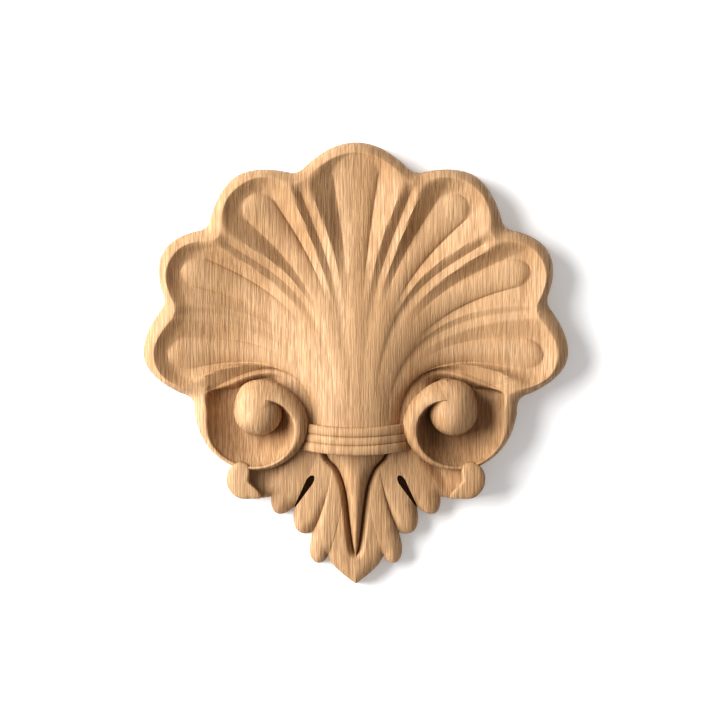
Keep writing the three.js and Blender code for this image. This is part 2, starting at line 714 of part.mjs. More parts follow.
function toManifold(geometry) {
  const plain = geometry.clone();
  plain.deleteAttribute('normal');
  plain.deleteAttribute('uv');
  const merged = mergeVertices(plain, 1e-5);
  return new wasm.Manifold(new wasm.Mesh({
    numProp: 3,
    vertProperties: new Float32Array(merged.attributes.position.array),
    triVerts: new Uint32Array(merged.index.array),
  }));
}

function fromManifold(solid) {
  const mesh = solid.getMesh();
  const out = new THREE.BufferGeometry();
  const stride = mesh.numProp;
  const flat = [];
  for (let i = 0; i < mesh.vertProperties.length; i += stride) {
    flat.push(mesh.vertProperties[i], mesh.vertProperties[i + 1], mesh.vertProperties[i + 2]);
  }
  out.setAttribute('position', new THREE.Float32BufferAttribute(flat, 3));
  out.setIndex([...mesh.triVerts]);
  out.computeVertexNormals();
  return out;
}

const SIDES = [-1, 1];
const CUT_ABOVE = BALL_CROWN + BAND_CROWN;

function carving() {
  let leaf = toManifold(leafGeometry());
  SIDES.forEach((side) => {
    leaf = leaf.add(toManifold(knobGeometry(side)));
    leaf = leaf.subtract(toManifold(lifted(slitGeometry(side), SLIT_FLOOR, CUT_ABOVE)));
  });
  leaf = leaf.subtract(toManifold(lifted(stemGeometry(TRENCH_WIDTH, 1, true), TRENCH_FLOOR, CUT_ABOVE)));
  let solid = toManifold(shellGeometry());
  SIDES.forEach((side) => {
    solid = solid.add(toManifold(skirtGeometry(side)));
    solid = solid.add(toManifold(bowlGeometry(side)));
    solid = solid.add(toManifold(scrollGeometry(side)));
    solid = solid.add(toManifold(ballGeometry(side)));
  });
  solid = solid.add(leaf);
  solid = solid.add(toManifold(stemGeometry(0, 0, false)));
  solid = solid.add(toManifold(bandGeometry()));
  return fromManifold(solid);
}

const insert = new THREE.Mesh(carving(), new THREE.MeshStandardMaterial({
  color: WOOD_COLOUR,
  roughness: WOOD_ROUGHNESS,
  metalness: 0,
}));
insert.name = 'carved_shell_insert';

const group = new THREE.Group();
group.add(insert);

export default group;
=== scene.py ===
"""Carved shell applique in pale wood: scallop dish, two volutes, band, stem and leaf."""

import math

import bmesh
import bpy
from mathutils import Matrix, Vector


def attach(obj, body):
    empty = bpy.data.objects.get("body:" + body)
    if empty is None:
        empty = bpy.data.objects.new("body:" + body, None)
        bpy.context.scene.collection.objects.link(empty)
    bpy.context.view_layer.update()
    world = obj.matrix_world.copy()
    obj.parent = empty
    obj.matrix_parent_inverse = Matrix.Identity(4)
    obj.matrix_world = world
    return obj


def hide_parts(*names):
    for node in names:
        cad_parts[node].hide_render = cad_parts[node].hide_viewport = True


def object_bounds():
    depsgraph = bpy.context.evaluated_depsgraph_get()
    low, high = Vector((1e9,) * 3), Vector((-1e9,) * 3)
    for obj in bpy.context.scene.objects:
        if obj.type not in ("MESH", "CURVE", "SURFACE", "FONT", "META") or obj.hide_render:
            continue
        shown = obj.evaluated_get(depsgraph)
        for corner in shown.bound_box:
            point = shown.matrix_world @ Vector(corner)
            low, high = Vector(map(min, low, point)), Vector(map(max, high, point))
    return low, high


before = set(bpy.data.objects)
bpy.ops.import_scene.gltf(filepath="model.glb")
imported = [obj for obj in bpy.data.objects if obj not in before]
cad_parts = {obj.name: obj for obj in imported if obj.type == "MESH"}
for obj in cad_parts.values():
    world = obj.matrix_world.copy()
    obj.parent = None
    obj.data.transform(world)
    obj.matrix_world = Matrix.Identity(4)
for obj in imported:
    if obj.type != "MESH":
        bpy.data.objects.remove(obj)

bl_info = {
    "name": "Carved Shell Applique",
    "version": (1, 0, 0),
    "blender": (4, 5, 0),
    "location": "View3D > Sidebar > Carving",
    "description": "Makes a carved wooden shell with volutes and a leaf, and a pale wall behind it",
    "category": "Add Mesh",
}

NODE = "carved_shell_insert"
DRESSED = "carved_shell_relief"
BODY = "root"
CAD_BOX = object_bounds()
POINT_REACH = 1e-7

# Scallop dish, right half: ribs and notches from the middle to the volute, in half widths.
RIBS = 4
LAST_RIB = RIBS - 0.5
RIB_PLACES = (0, 0.5, 1.5, 2.5, 3.5)
RIB_ACROSS = (0.268, 0.631, 0.832, 0.705)
RIB_UP = (0.828, 0.576, 0.24, -0.137)
RIB_LIFT = (0.719, 0.686, 0.497, 0.411)
FAN_LIFT_MIDDLE = 0.723
FAN_BASE_UP = -0.33
FAN_BASE_HALF = 0.203
RIB_RUN_OUT = 0.275
RIB_TURN = 36.0
LAST_RIB_TURN_BACK = 6.0
NOTCH_ACROSS = (0.275, 0.698, 0.893, 0.77)
NOTCH_UP = (0.888, 0.632, 0.284, -0.165)
CREST_ARCH = (0.163, 0.163, 0.161, 0.184)
CREST_FULLNESS = (2, 2.5, 2.4, 2.3)
EDGE_ARCH = (0.152, 0.143, 0.13, 0.171)
EDGE_FULLNESS = (2, 1.85, 2, 1.9)
NOTCH_SOFTENING = 0.04
CREST_SOFTENING = 0.05

# Ribs, petals and rim: shares of the way from petal to rib, or of the way from the rim to the neck.
PETAL_SHIFT = (0, 0, 0.06, -0.06)
PETAL_REACH = 0.44
PETAL_STARTS = (0.1, 1, 1.05, 1.05)
RIB_STRENGTH = (1, 1, 0.85, 0.4, 1)
GROOVE_STRENGTH = (1, 1, 0.85, 0.4, 1.8)
GROOVE_REACH = 0.87
BRINK_WIDENING = 0.12
BRINK_WIDENING_REACH = (0, 0.6)
LAST_BRINK_WIDENING = 0.15
LAST_BRINK_REACH = (0, 0.2)
LAST_LOBE = (2.9, 3.3)
LAST_PETAL_LOSS = 0.6
RIB_SHARPNESS = 1.2
RIB_FADE = (0.25, 0.68)
PETAL_ROUNDING = 0.65
NECK_RISE = (0.3, 1)
NECK_REACH = RIBS - 0.3
RIB_LOSS_AT_RIM = 0.4
HOLLOW_REACH = 0.62
CREST_CORNER = 0.15
RIM_FULLNESS = 1.4
ROW_BUNCHING = 1.35
RIM_FROM = 0.86

# Skirt beside the last rib: drops in metres against the pull towards the volute, in crest widths.
SKIRT_FOOT = 0.7
SKIRT_PULLS = (-0.75, 0, 1, 2.2, 3.4, 4.6)
SKIRT_DROPS = (-0.0008, 0, 0.0011, -0.0026, -0.007, -0.009)
SKIRT_NARROWING = 0.75
SKIRT_NARROWS = (0.84, 1)
SKIRT_FALLS = (0.3, 0.66)
SKIRT_ENDS = (0.78, 0.97)

# Volute: distances in eye radii against the turn in degrees from straight up, towards the neck.
EYE_ACROSS = 0.459
EYE_UP = -0.229
SCROLL_TURN = (-80, -52, -30, 6, 32, 58, 85, 110, 145, 190, 234, 267, 285, 291, 297)
SCROLL_CREST = (0.1, 0.2, 0.3, 0.46, 0.58, 0.83, 1.24, 1.67, 2.13, 2.37, 2.39, 2.17, 2.26, 2.33, 2.42)
SCROLL_EDGE = (1.02, 1.14, 1.29, 1.37, 1.45, 1.6, 1.92, 2.23, 2.35, 2.47, 2.55, 2.62, 2.71, 2.88, 3.35)
SCROLL_RISE = (1, 1, 1, 1, 0.99, 0.97, 0.95, 0.92, 0.81, 0.67, 0.63, 0.64, 0.645, 0.64, 0.6)
SCROLL_START = 12
SCROLL_EDGE_RISE = 0.66
SCROLL_SKEW = 10
BOWL_FLOOR_RISE = 0.22
BALL_SKIRT_RISE = 0.64

# Roll and ball: turns in degrees, reaches in eye radii, seam and sink in metres.
ROLL_WALL_WIDTH = 0.16
ROLL_SEAM = 0.0001
ROLL_START_SINK = 0.0022
ROLL_STARTS = (14, 34)
ROLL_ROUNDS_OUT = (15, 75)
ROLL_SKEWS = (250, 291)
ROLL_INNER_SHARE = 0.22
ROLL_FOOT_LEAST = 0.05
ROLL_FOOT_SHARE = 0.8
BALL_START = -120
BALL_SWELL = 0.985
BALL_SWELL_OPENS = (-110, -85)
BALL_SWELL_CLOSES = (30, 65)

# Turns between which the bowl's edge meets the roll, leaves it, falls to a shelf and closes again.
BOWL_START = 35
BOWL_MEETS = (40, 75)
BOWL_LEAVES = (275, 300)
BOWL_FALLS = (265, 300)
BOWL_SHELF_ENDS = (335, 365)
BOWL_CLOSES = (370, 390)
BOWL_CLOSE_REACH = 1.2
BOWL_OPEN_REACH = 2.3
BOWL_FLAT = 0.35
BOWL_LIP_DROP = 0.0003
BOWL_SHELF = 0.0026
BOWL_CURVE = 2.2

# Band, stem, leaf, slits and knobs: places in half widths, leans and turns in degrees.
BAND_TOP_UP = -0.277
BAND_HALF = 0.262
BAND_SAG = 0.026
FILLET_STARTS = (0, 0.35, 0.65)
FILLET_SHARES = (0.35, 0.3, 0.35)
FILLET_PROUD = (1, 0.75, 1)
FILLET_ROUNDING = 0.45
BAND_ARC = 0.95
STEM_EDGE = 0.6
STEM_TIP_UP = -0.913
STEM_UNDER_BAND = 0.7
STEM_STATIONS = (0, 0.1, 0.2, 0.38, 0.68, 0.88, 1)
STEM_WIDTHS = (0.15, 0.13, 0.084, 0.049, 0.028, 0.015, 0.003)
STEM_CROWNS = (1.1, 1.05, 1, 0.92, 0.78, 0.66, 0.55)
LEAF_NOTCHES = (0, 1, 2, 3, 4, 5)
LEAF_NOTCH_ACROSS = (0, 0.131, 0.202, 0.287, 0.399, 0.529)
LEAF_NOTCH_UP = (-1.04, -0.905, -0.795, -0.674, -0.629, -0.638)
LEAF_ROOT_ACROSS = (0, 0.05, 0.1, 0.16, 0.26, 0.51)
LEAF_ROOT_UP = (-0.36, -0.36, -0.36, -0.37, -0.38, -0.475)
LEAF_LEAN = (0, 22, 27, 27, 23, 8)
LOBE_NEAR = ((0.034, 0.024), (0.022, -0.068), (0.045, -0.022), (0.04, -0.042), (0.038, -0.009))
LOBE_FAR = ((-0.019, -0.06), (0.056, -0.16), (0.028, -0.132), (0.006, -0.118), (-0.038, -0.002))
WEB_LOBE = 4
WEB_BLEND = (WEB_LOBE - 0.12, WEB_LOBE + 0.4)
WEB_EDGE_DROP = 0.001
LOBE_BEND = 0.45
LOBE_CROWNS = (1.12, 0.8)
LEAF_BUNCHING = 1.6
SOFT_VALLEY = 2
VALLEY_REACH = 0.35
VALLEY_DEEPENS = (0.35, 0.9)
TRENCH_CURVE = 1.5
TRENCH_ENDS = (0.93, 1.03)
SLIT_HEAD = (0.2, -0.529)
SLIT_TAIL = (0.292, -0.685)
SLIT_HEAD_SHARE = 0.2
SLIT_TAIL_WIDTH = 0.12
SLIT_LEAST_WIDTH = 0.08
CUT_HEIGHT = 0.04
KNOB_CENTRE = (0.549, -0.555)
KNOB_TURN = (0, 48, 90, 120, 150, 180, 200, 208, 217, 231, 245, 270, 310, 360)
KNOB_REACH = (
    0.058, 0.072, 0.089, 0.087, 0.059, 0.051, 0.072, 0.11, 0.131, 0.107, 0.093, 0.081, 0.064, 0.058
)
KNOB_LEAN = 0.03
KNOB_SKIRT = 0.85
KNOB_ROUNDING = 0.6

# Wood: lengths across, out of and up the board over which each pattern changes.
PORE_GRAIN = (0.0003, 0.003, 0.005)
THREAD_GRAIN = (0.0003, 0.006, 0.02)
FIBRE_GRAIN = (0.0009, 0.008, 0.05)
BAND_GRAIN = (0.007, 0.03, 0.16)
CLOUD_GRAIN = (0.03, 0.03, 0.06)

# How much of the noise's span makes each pattern, and how strongly its colour covers the wood.
PORE_SPAN = (0.42, 0.6)
THREAD_SPAN = (0.43, 0.62)
STREAK_SPAN = (0.4, 0.66)
BAND_SPAN = (0.35, 0.65)
CLOUD_SPAN = (0.45, 0.7)
PORE_SHARE = 0.24
THREAD_SHARE = 0.4
STREAK_SHARE = 0.22
CLOUD_SHARE = 0.3

# Surface of the wood and glow of the wall.
PORE_DEPTH = 0.0002
PORE_RELIEF = 0.6
FIBRE_RELIEF = 0.35
RELIEF_STRENGTH = 0.5
WOOD_ROUGHNESS = 0.5
PORE_ROUGHNESS = 0.2
STREAK_ROUGHNESS = 0.06
WOOD_SPECULAR = 0.3
WALL_ROUGHNESS = 0.9
WALL_GLOW = 0.22


# Node sums


class Field:
    """One socket of a shader or geometry tree, used like a number in sums."""

    def __init__(self, nodes, socket):
        self.nodes = nodes
        self.socket = socket

    def sum(self, operation, *others):
        return self.nodes.math(operation, self, *others)

    def __add__(self, other):
        return self.sum("ADD", other)

    __radd__ = __add__

    def __sub__(self, other):
        return self.sum("SUBTRACT", other)

    def __rsub__(self, other):
        return self.nodes.math("SUBTRACT", other, self)

    def __mul__(self, other):
        return self.sum("MULTIPLY", other)

    __rmul__ = __mul__

    def __truediv__(self, other):
        return self.sum("DIVIDE", other)

    def __rtruediv__(self, other):
        return self.nodes.math("DIVIDE", other, self)

    def __pow__(self, other):
        return self.sum("POWER", other)

    def __neg__(self):
        return self.sum("MULTIPLY", -1.0)

    def __abs__(self):
        return self.sum("ABSOLUTE")


class Nodes:
    """Makes the nodes of one tree."""

    def __init__(self, tree):
        self.tree = tree

    def make(self, kind, settings=None, values=None):
        """A node of the kind, with its settings made first and then its sockets fed."""
        node = self.tree.nodes.new(kind)
        for name, value in (settings or {}).items():
            if name == "items":
                self.set_items(node, value)
            else:
                setattr(node, name, value)
        for name, value in (values or {}).items():
            self.feed(node.inputs[name], value)
        return node

    def set_items(self, node, count):
        while len(node.index_switch_items) < count:
            node.index_switch_items.new()

    def feed(self, socket, value):
        if isinstance(value, Field):
            self.tree.links.new(value.socket, socket)
        elif isinstance(value, bpy.types.NodeSocket):
            self.tree.links.new(value, socket)
        else:
            socket.default_value = value

    def field(self, kind, settings=None, values=None, output=0):
        return Field(self, self.make(kind, settings, values).outputs[output])

    def math(self, operation, *values):
        return self.field("ShaderNodeMath", {"operation": operation}, dict(enumerate(values)))

    def lowest(self, a, b):
        return self.math("MINIMUM", a, b)

    def highest(self, a, b):
        return self.math("MAXIMUM", a, b)

    def clamp(self, value, low, high):
        return self.lowest(self.highest(value, low), high)

    def ease(self, low, high, value):
        s = self.clamp((value - low) / (high - low), 0, 1)
        return s * s * (3 - 2 * s)

    def root(self, value):
        return self.math("SQRT", value)

    def dome(self, value, power=2):
        return self.root(self.highest(1 - abs(value) ** power, 0))

    def sine(self, degrees):
        return self.math("SINE", degrees * math.radians(1))

    def cosine(self, degrees):
        return self.math("COSINE", degrees * math.radians(1))

    def apart(self, a, b):
        return self.root((a[0] - b[0]) ** 2 + (a[1] - b[1]) ** 2)

    def pick(self, index, values):
        """The value that stands at a whole-number index."""
        node = self.make("GeometryNodeIndexSwitch", {"data_type": "FLOAT", "items": len(values)})
        self.feed(node.inputs[0], index)
        for socket, value in zip(node.inputs[1:], values):
            self.feed(socket, value)
        return Field(self, node.outputs[0])

    def through(self, places, values, at):
        """Smooth curve through the values at their places, with slopes from the neighbours."""
        last = len(places) - 1
        low = [max(0, k - 1) for k in range(last + 1)]
        high = [min(last, k + 1) for k in range(last + 1)]
        slopes = [(values[b] - values[a]) / (places[b] - places[a]) for a, b in zip(low, high)]
        v = self.clamp(at, places[0], places[last])
        index = 0
        for place in places[1:last]:
            index = self.math("GREATER_THAN", v, place) + index
        start = self.pick(index, places[:last])
        step = self.pick(index, [places[k + 1] - places[k] for k in range(last)])
        s = (v - start) / step
        s2 = s * s
        s3 = s2 * s
        return (
            (2 * s3 - 3 * s2 + 1) * self.pick(index, values[:last])
            + (s3 - 2 * s2 + s) * step * self.pick(index, slopes[:last])
            + (3 * s2 - 2 * s3) * self.pick(index, values[1:])
            + (s3 - s2) * step * self.pick(index, slopes[1:])
        )


def mix(a, b, s):
    return a + (b - a) * s


def mean(points):
    return tuple(sum(point[i] for point in points) / len(points) for i in range(2))


def cubic(a, b, c, d, t):
    """Point of the curve from a to d with handles b and c."""
    q = 1 - t
    return tuple(
        q * q * q * a[i] + 3 * q * q * t * b[i] + 3 * q * t * t * c[i] + t * t * t * d[i]
        for i in range(2)
    )


class ReliefNodes(Nodes):
    """A geometry tree that lifts a sheet into a carved slab with a flat back."""

    def __init__(self, name, sizes):
        super().__init__(bpy.data.node_groups.new(name, "GeometryNodeTree"))
        self.tree.interface.new_socket("Geometry", in_out="OUTPUT", socket_type="NodeSocketGeometry")
        for label in sizes:
            self.tree.interface.new_socket(label, in_out="INPUT", socket_type="NodeSocketFloat")
        self.entry = self.make("NodeGroupInput")

    def size(self, label):
        return Field(self, self.entry.outputs[label])

    def move(self, geometry, position):
        return self.make("GeometryNodeSetPosition", {}, {"Geometry": geometry, "Position": position})

    def merge(self, geometry):
        values = {"Geometry": geometry, "Distance": POINT_REACH}
        return self.make("GeometryNodeMergeByDistance", {}, values)

    def slab(self, columns, rows, surface, wood):
        """Closed slab: surface(x, y) gives across, up and height for x and y from 0 to 1."""
        grid = self.make(
            "GeometryNodeMeshGrid",
            {},
            {"Size X": 1.0, "Size Y": 1.0, "Vertices X": columns, "Vertices Y": rows},
        )
        place = self.make("GeometryNodeInputPosition")
        parts = self.make("ShaderNodeSeparateXYZ", {}, {0: place.outputs[0]})
        x = Field(self, parts.outputs[0]) + 0.5
        y = Field(self, parts.outputs[1]) + 0.5
        across, up, height = surface(x, y)
        kept = self.make(
            "GeometryNodeStoreNamedAttribute",
            {"data_type": "FLOAT", "domain": "POINT"},
            {"Geometry": grid.outputs["Mesh"], "Name": "height", "Value": height},
        )
        plan = self.make("ShaderNodeCombineXYZ", {}, {"X": across, "Y": 0.0, "Z": up})
        flat = self.move(kept.outputs[0], plan.outputs[0])
        sheet = self.merge(flat.outputs[0])
        raised = self.make(
            "GeometryNodeExtrudeMesh",
            {"mode": "FACES"},
            {"Mesh": sheet.outputs[0], "Offset Scale": 0.0, "Individual": False},
        )
        named = self.make("GeometryNodeInputNamedAttribute", {"data_type": "FLOAT"}, {"Name": "height"})
        lift = self.make("ShaderNodeCombineXYZ", {}, {"Y": -Field(self, named.outputs[0])})
        front = self.make(
            "GeometryNodeSetPosition",
            {},
            {
                "Geometry": raised.outputs["Mesh"],
                "Selection": raised.outputs["Top"],
                "Offset": lift.outputs[0],
            },
        )
        back = self.make("GeometryNodeFlipFaces", {}, {"Mesh": sheet.outputs[0]})
        both = self.make("GeometryNodeJoinGeometry")
        self.feed(both.inputs[0], front.outputs[0])
        self.feed(both.inputs[0], back.outputs[0])
        solid = self.merge(both.outputs[0])
        real = self.make("GeometryNodeRealizeInstances", {}, {"Geometry": solid.outputs[0]})
        values = {"Geometry": real.outputs[0], "Material": wood}
        dressed = self.make("GeometryNodeSetMaterial", {}, values)
        ending = self.make("NodeGroupOutput")
        self.feed(ending.inputs[0], dressed.outputs[0])


def carve(name, nodes, sizes):
    """Plain closed mesh object made by a finished relief tree with these sizes."""
    carrier = bpy.data.objects.new(name, bpy.data.meshes.new(name))
    bpy.context.collection.objects.link(carrier)
    modifier = carrier.modifiers.new("relief", "NODES")
    modifier.node_group = nodes.tree
    for item in nodes.tree.interface.items_tree:
        if item.in_out == "INPUT":
            modifier[item.identifier] = float(sizes[item.name])
    view = bpy.context.evaluated_depsgraph_get()
    mesh = bpy.data.meshes.new_from_object(carrier.evaluated_get(view))
    carrier.modifiers.clear()
    carrier.data = mesh
    shell = bmesh.new()
    shell.from_mesh(mesh)
    bmesh.ops.recalc_face_normals(shell, faces=shell.faces)
    shell.to_mesh(mesh)
    shell.free()
    return carrier


# Scallop dish


class FanNodes(ReliefNodes):
    """Plan and heights of the scallop dish."""

    LABELS = (
        "Half Width", "Rim Height", "Rim Round", "Rim Wall", "Dish Floor", "Neck Crown", "Neck Flank",
        "Hollow", "Rib Rise", "Petal Bulge", "Groove Depth", "Petal Tip", "Petal Inset",
    )

    def __init__(self, name, labels=()):
        super().__init__(name, self.LABELS + tuple(labels))
        self.half = self.size("Half Width")

    def lobed(self, v, across, up, arches, fullnesses):
        """Lobed line round the right half of the fan at position v."""
        lobe = self.clamp(self.math("ROUND", v), 0, RIBS - 1)
        s = v - lobe + 0.5
        a = (self.pick(lobe, (-across[0],) + across[:3]), self.pick(lobe, (up[0],) + up[:3]))
        b = (self.pick(lobe, across), self.pick(lobe, up))
        arch = self.pick(lobe, arches)
        fullness = self.pick(lobe, fullnesses)
        run = self.apart(a, b)
        swell = arch * (1 - abs(2 * s - 1) ** fullness) / run
        return (
            (mix(a[0], b[0], s) - (b[1] - a[1]) * swell) * self.half,
            (mix(a[1], b[1], s) + (b[0] - a[0]) * swell) * self.half,
        )

    def crest(self, v):
        """Crest of the rim, softened where the ribs meet it."""
        reach = CREST_SOFTENING * self.clamp((LAST_RIB - v) / CREST_CORNER, 0, 1)
        places = [v + reach * k for k in (-1, 0, 1)]
        return mean([self.lobed(p, RIB_ACROSS, RIB_UP, CREST_ARCH, CREST_FULLNESS) for p in places])

    def edge(self, v):
        """Outline of the fan, softened in its notches."""
        places = [self.clamp(v + k * NOTCH_SOFTENING, -LAST_RIB, LAST_RIB) for k in (-1, 0, 1)]
        return mean([self.lobed(p, NOTCH_ACROSS, NOTCH_UP, EDGE_ARCH, EDGE_FULLNESS) for p in places])

    def flow(self, v, t):
        """Line of the fan from the neck at t = 0 to the crest of the rim at t = 1."""
        lift = self.through(RIB_PLACES, (FAN_LIFT_MIDDLE,) + RIB_LIFT, v) * self.half
        end = self.crest(v)
        foot = (v * (FAN_BASE_HALF / LAST_RIB) * self.half, FAN_BASE_UP * self.half)
        back = RIB_RUN_OUT * self.half
        rise = (foot[0], foot[1] + lift)
        lean = v * RIB_TURN - LAST_RIB_TURN_BACK * self.ease(LAST_RIB - 1, LAST_RIB, v)
        near = (end[0] - back * self.sine(lean), end[1] - back * self.cosine(lean))
        return cubic(foot, rise, near, end, t)

    def height(self, v, s, t):
        """Height of the dish; s runs from rib to rib as -1 to 1."""
        x = abs(s)
        w = 1 - t
        inset = self.apart(self.crest(v), self.flow(v, t))
        last = self.ease(*LAST_LOBE, v)
        brink = GROOVE_REACH - BRINK_WIDENING * self.ease(*BRINK_WIDENING_REACH, w)
        brink = brink - LAST_BRINK_WIDENING * last * self.ease(*LAST_BRINK_REACH, w)
        rib = self.clamp((x - PETAL_REACH) / (brink - PETAL_REACH), 0, 1) ** (RIB_SHARPNESS + last)
        groove = self.highest((x - brink) / (1 - brink), 0)
        lobe = self.clamp(self.math("ROUND", v), 0, RIBS - 1)
        start = self.size("Petal Inset") * self.pick(lobe, PETAL_STARTS)
        end = self.highest(1 - (inset - start) / self.size("Petal Tip"), 0)
        strength = self.through(RIB_PLACES, RIB_STRENGTH, v)
        bite = self.through(RIB_PLACES, GROOVE_STRENGTH, v)
        petal = self.highest(1 - (x / PETAL_REACH) ** 2 - end ** 2, 0) ** PETAL_ROUNDING
        petal = petal * (1 - LAST_PETAL_LOSS * last)
        neck = mix(self.size("Neck Flank"), self.size("Neck Crown"), self.dome(v / NECK_REACH))
        hollow = self.highest(1 - w / HOLLOW_REACH, 0) ** 2
        plain = mix(self.size("Dish Floor"), neck, self.ease(*NECK_RISE, w))
        plain = plain + self.size("Hollow") * hollow
        fade = 1 - self.ease(*RIB_FADE, w)
        field = plain + fade * (
            self.size("Rib Rise") * rib * strength * (1 - hollow * RIB_LOSS_AT_RIM)
            + self.size("Petal Bulge") * petal
            - self.size("Groove Depth") * groove * bite
        )
        wall = self.clamp(1 - inset / self.size("Rim Wall"), 0, 1) ** 2
        return mix(field, self.size("Rim Height"), wall)


def dish_nodes(wood):
    """Seven lobes between eight ribs, from the neck to the rolled outline."""
    nodes = FanNodes("scallop_dish")

    def surface(x, y):
        wide = (x - 0.5) * (2 * RIBS - 1)
        side = nodes.math("SIGN", wide)
        v0 = abs(wide)
        lobe = nodes.clamp(nodes.math("ROUND", v0), 0, RIBS - 1)
        s = (v0 - lobe) * 2
        shift = nodes.pick(lobe, PETAL_SHIFT)
        v = lobe + (s + shift * (1 - s * s) * 2) / 2
        t = 1 - (1 - nodes.lowest(y / RIM_FROM, 1)) ** ROW_BUNCHING
        r = nodes.highest((y - RIM_FROM) / (1 - RIM_FROM), 0)
        inner = nodes.flow(v, t)
        outer = nodes.edge(v)
        drop = nodes.size("Rim Round") * (1 - nodes.dome(r, RIM_FULLNESS))
        return (
            side * mix(inner[0], outer[0], r),
            mix(inner[1], outer[1], r),
            nodes.height(v, s, t) - drop,
        )

    nodes.slab(columns=351, rows=91, surface=surface, wood=wood)
    return nodes


def skirt_nodes(wood):
    """The last rib's second crest and its fall into the bowl of the volute."""
    nodes = FanNodes("rib_skirt", ("Side", "Eye Across", "Eye Up", "Bowl Floor", "Skirt Crest"))

    def surface(x, y):
        t = 1 - (1 - y) ** ROW_BUNCHING
        here = nodes.flow(x * 0 + LAST_RIB, t)
        height = nodes.height(x * 0 + LAST_RIB, x * 0 + 1, t)
        eye = (nodes.size("Eye Across"), nodes.size("Eye Up"))
        pull = mix(SKIRT_PULLS[0], SKIRT_PULLS[-1], x)
        narrow = 1 - SKIRT_NARROWING * nodes.ease(*SKIRT_NARROWS, t)
        near = pull * narrow * nodes.size("Skirt Crest") / nodes.apart(eye, here)
        fade = (1 - nodes.ease(*RIB_FADE, 1 - t)) * (1 - nodes.ease(*SKIRT_ENDS, t))
        drop = nodes.through(SKIRT_PULLS, SKIRT_DROPS, pull)
        drop = nodes.lowest(drop, 0) * nodes.ease(*SKIRT_FALLS, t) + nodes.highest(drop, 0) * fade
        low = nodes.size("Bowl Floor") * SKIRT_FOOT
        return (
            nodes.size("Side") * mix(here[0], eye[0], near),
            mix(here[1], eye[1], near),
            nodes.highest(height + drop, low),
        )

    nodes.slab(columns=25, rows=79, surface=surface, wood=wood)
    return nodes


# Volutes


class VoluteNodes(ReliefNodes):
    """Plan of a volute: points by turn and distance from its eye."""

    def __init__(self, name):
        super().__init__(name, ("Side", "Half Width", "Eye Radius", "Ball Crown"))
        self.side = self.size("Side")
        self.crown = self.size("Ball Crown")

    def place(self, turn, radius):
        far = radius * self.size("Eye Radius")
        half = self.size("Half Width")
        return (
            self.side * (EYE_ACROSS * half - self.sine(turn) * far),
            EYE_UP * half + self.cosine(turn) * far,
        )

    def crest(self, turn):
        return self.through(SCROLL_TURN, SCROLL_CREST, turn)

    def edge(self, turn):
        return self.through(SCROLL_TURN, SCROLL_EDGE, turn)

    def top(self, turn):
        return self.through(SCROLL_TURN, SCROLL_RISE, turn) * self.crown


def roll_nodes(wood):
    """Rolled rim swept along the spiral from the eye to the last notch of the shell."""
    nodes = VoluteNodes("spiral_roll")
    inner = ROLL_INNER_SHARE

    def surface(x, y):
        turn = mix(SCROLL_START, SCROLL_TURN[-1], x)
        crest = nodes.crest(turn)
        edge = nodes.edge(turn)
        top = nodes.top(turn)
        foot = nodes.highest(crest - ROLL_WALL_WIDTH, ROLL_FOOT_LEAST)
        rise = nodes.lowest(y / inner, 1)
        s = nodes.highest((y - inner) / (1 - inner), 0)
        radius = mix(mix(foot, crest, rise), edge, s)
        q = mix(radius / edge, s, nodes.ease(*ROLL_ROUNDS_OUT, turn))
        q = q * nodes.math("GREATER_THAN", s, 0)
        low = nodes.crown * (BOWL_FLOOR_RISE * ROLL_FOOT_SHARE)
        wall = mix(low, top, nodes.dome(1 - rise, 3))
        roll = mix(top * SCROLL_EDGE_RISE, top, nodes.dome(q))
        skew = SCROLL_SKEW * nodes.ease(*ROLL_SKEWS, turn)
        across, up = nodes.place(turn - s * skew, radius)
        before = nodes.math("LESS_THAN", y, inner)
        sunk = ROLL_SEAM + ROLL_START_SINK * (1 - nodes.ease(*ROLL_STARTS, turn)) * (1 - s)
        return across, up, mix(roll, wall, before) - sunk

    nodes.slab(columns=221, rows=41, surface=surface, wood=wood)
    return nodes


def bowl_nodes(wood):
    """Hollow floor between the ball and the rolled rim."""
    nodes = VoluteNodes("volute_bowl")

    def surface(x, y):
        turn = x * 360 + BOWL_START
        closing = mix(BOWL_CLOSE_REACH, nodes.crest(turn), nodes.ease(*BOWL_MEETS, turn))
        open_reach = mix(closing, BOWL_OPEN_REACH, nodes.ease(*BOWL_LEAVES, turn))
        reach = mix(open_reach, BOWL_CLOSE_REACH, nodes.ease(*BOWL_CLOSES, turn))
        floor = nodes.crown * BOWL_FLOOR_RISE
        wall = mix(nodes.top(turn) - BOWL_LIP_DROP, floor + BOWL_SHELF, nodes.ease(*BOWL_FALLS, turn))
        lip = mix(floor, wall, nodes.ease(*BOWL_MEETS, turn))
        lip = mix(lip, floor, nodes.ease(*BOWL_SHELF_ENDS, turn))
        rise = nodes.clamp((y - BOWL_FLAT) / (1 - BOWL_FLAT), 0, 1) ** BOWL_CURVE
        across, up = nodes.place(turn, reach * y)
        return across, up, mix(floor, lip, rise)

    nodes.slab(columns=97, rows=31, surface=surface, wood=wood)
    return nodes


def ball_nodes(wood):
    """Ball eye, swelling out on its upper side into the start of the roll."""
    nodes = VoluteNodes("ball_eye")

    def surface(x, y):
        turn = x * 360 + BALL_START
        swell = nodes.edge(turn) * BALL_SWELL
        far = mix(1.0, swell, nodes.ease(*BALL_SWELL_OPENS, turn))
        reach = mix(far, 1.0, nodes.ease(*BALL_SWELL_CLOSES, turn))
        across, up = nodes.place(turn, reach * nodes.sine(y * 90))
        height = nodes.crown * mix(BALL_SKIRT_RISE, 1.0, nodes.cosine(y * 90))
        return across, up, height

    nodes.slab(columns=97, rows=25, surface=surface, wood=wood)
    return nodes


# Band, stem and leaf


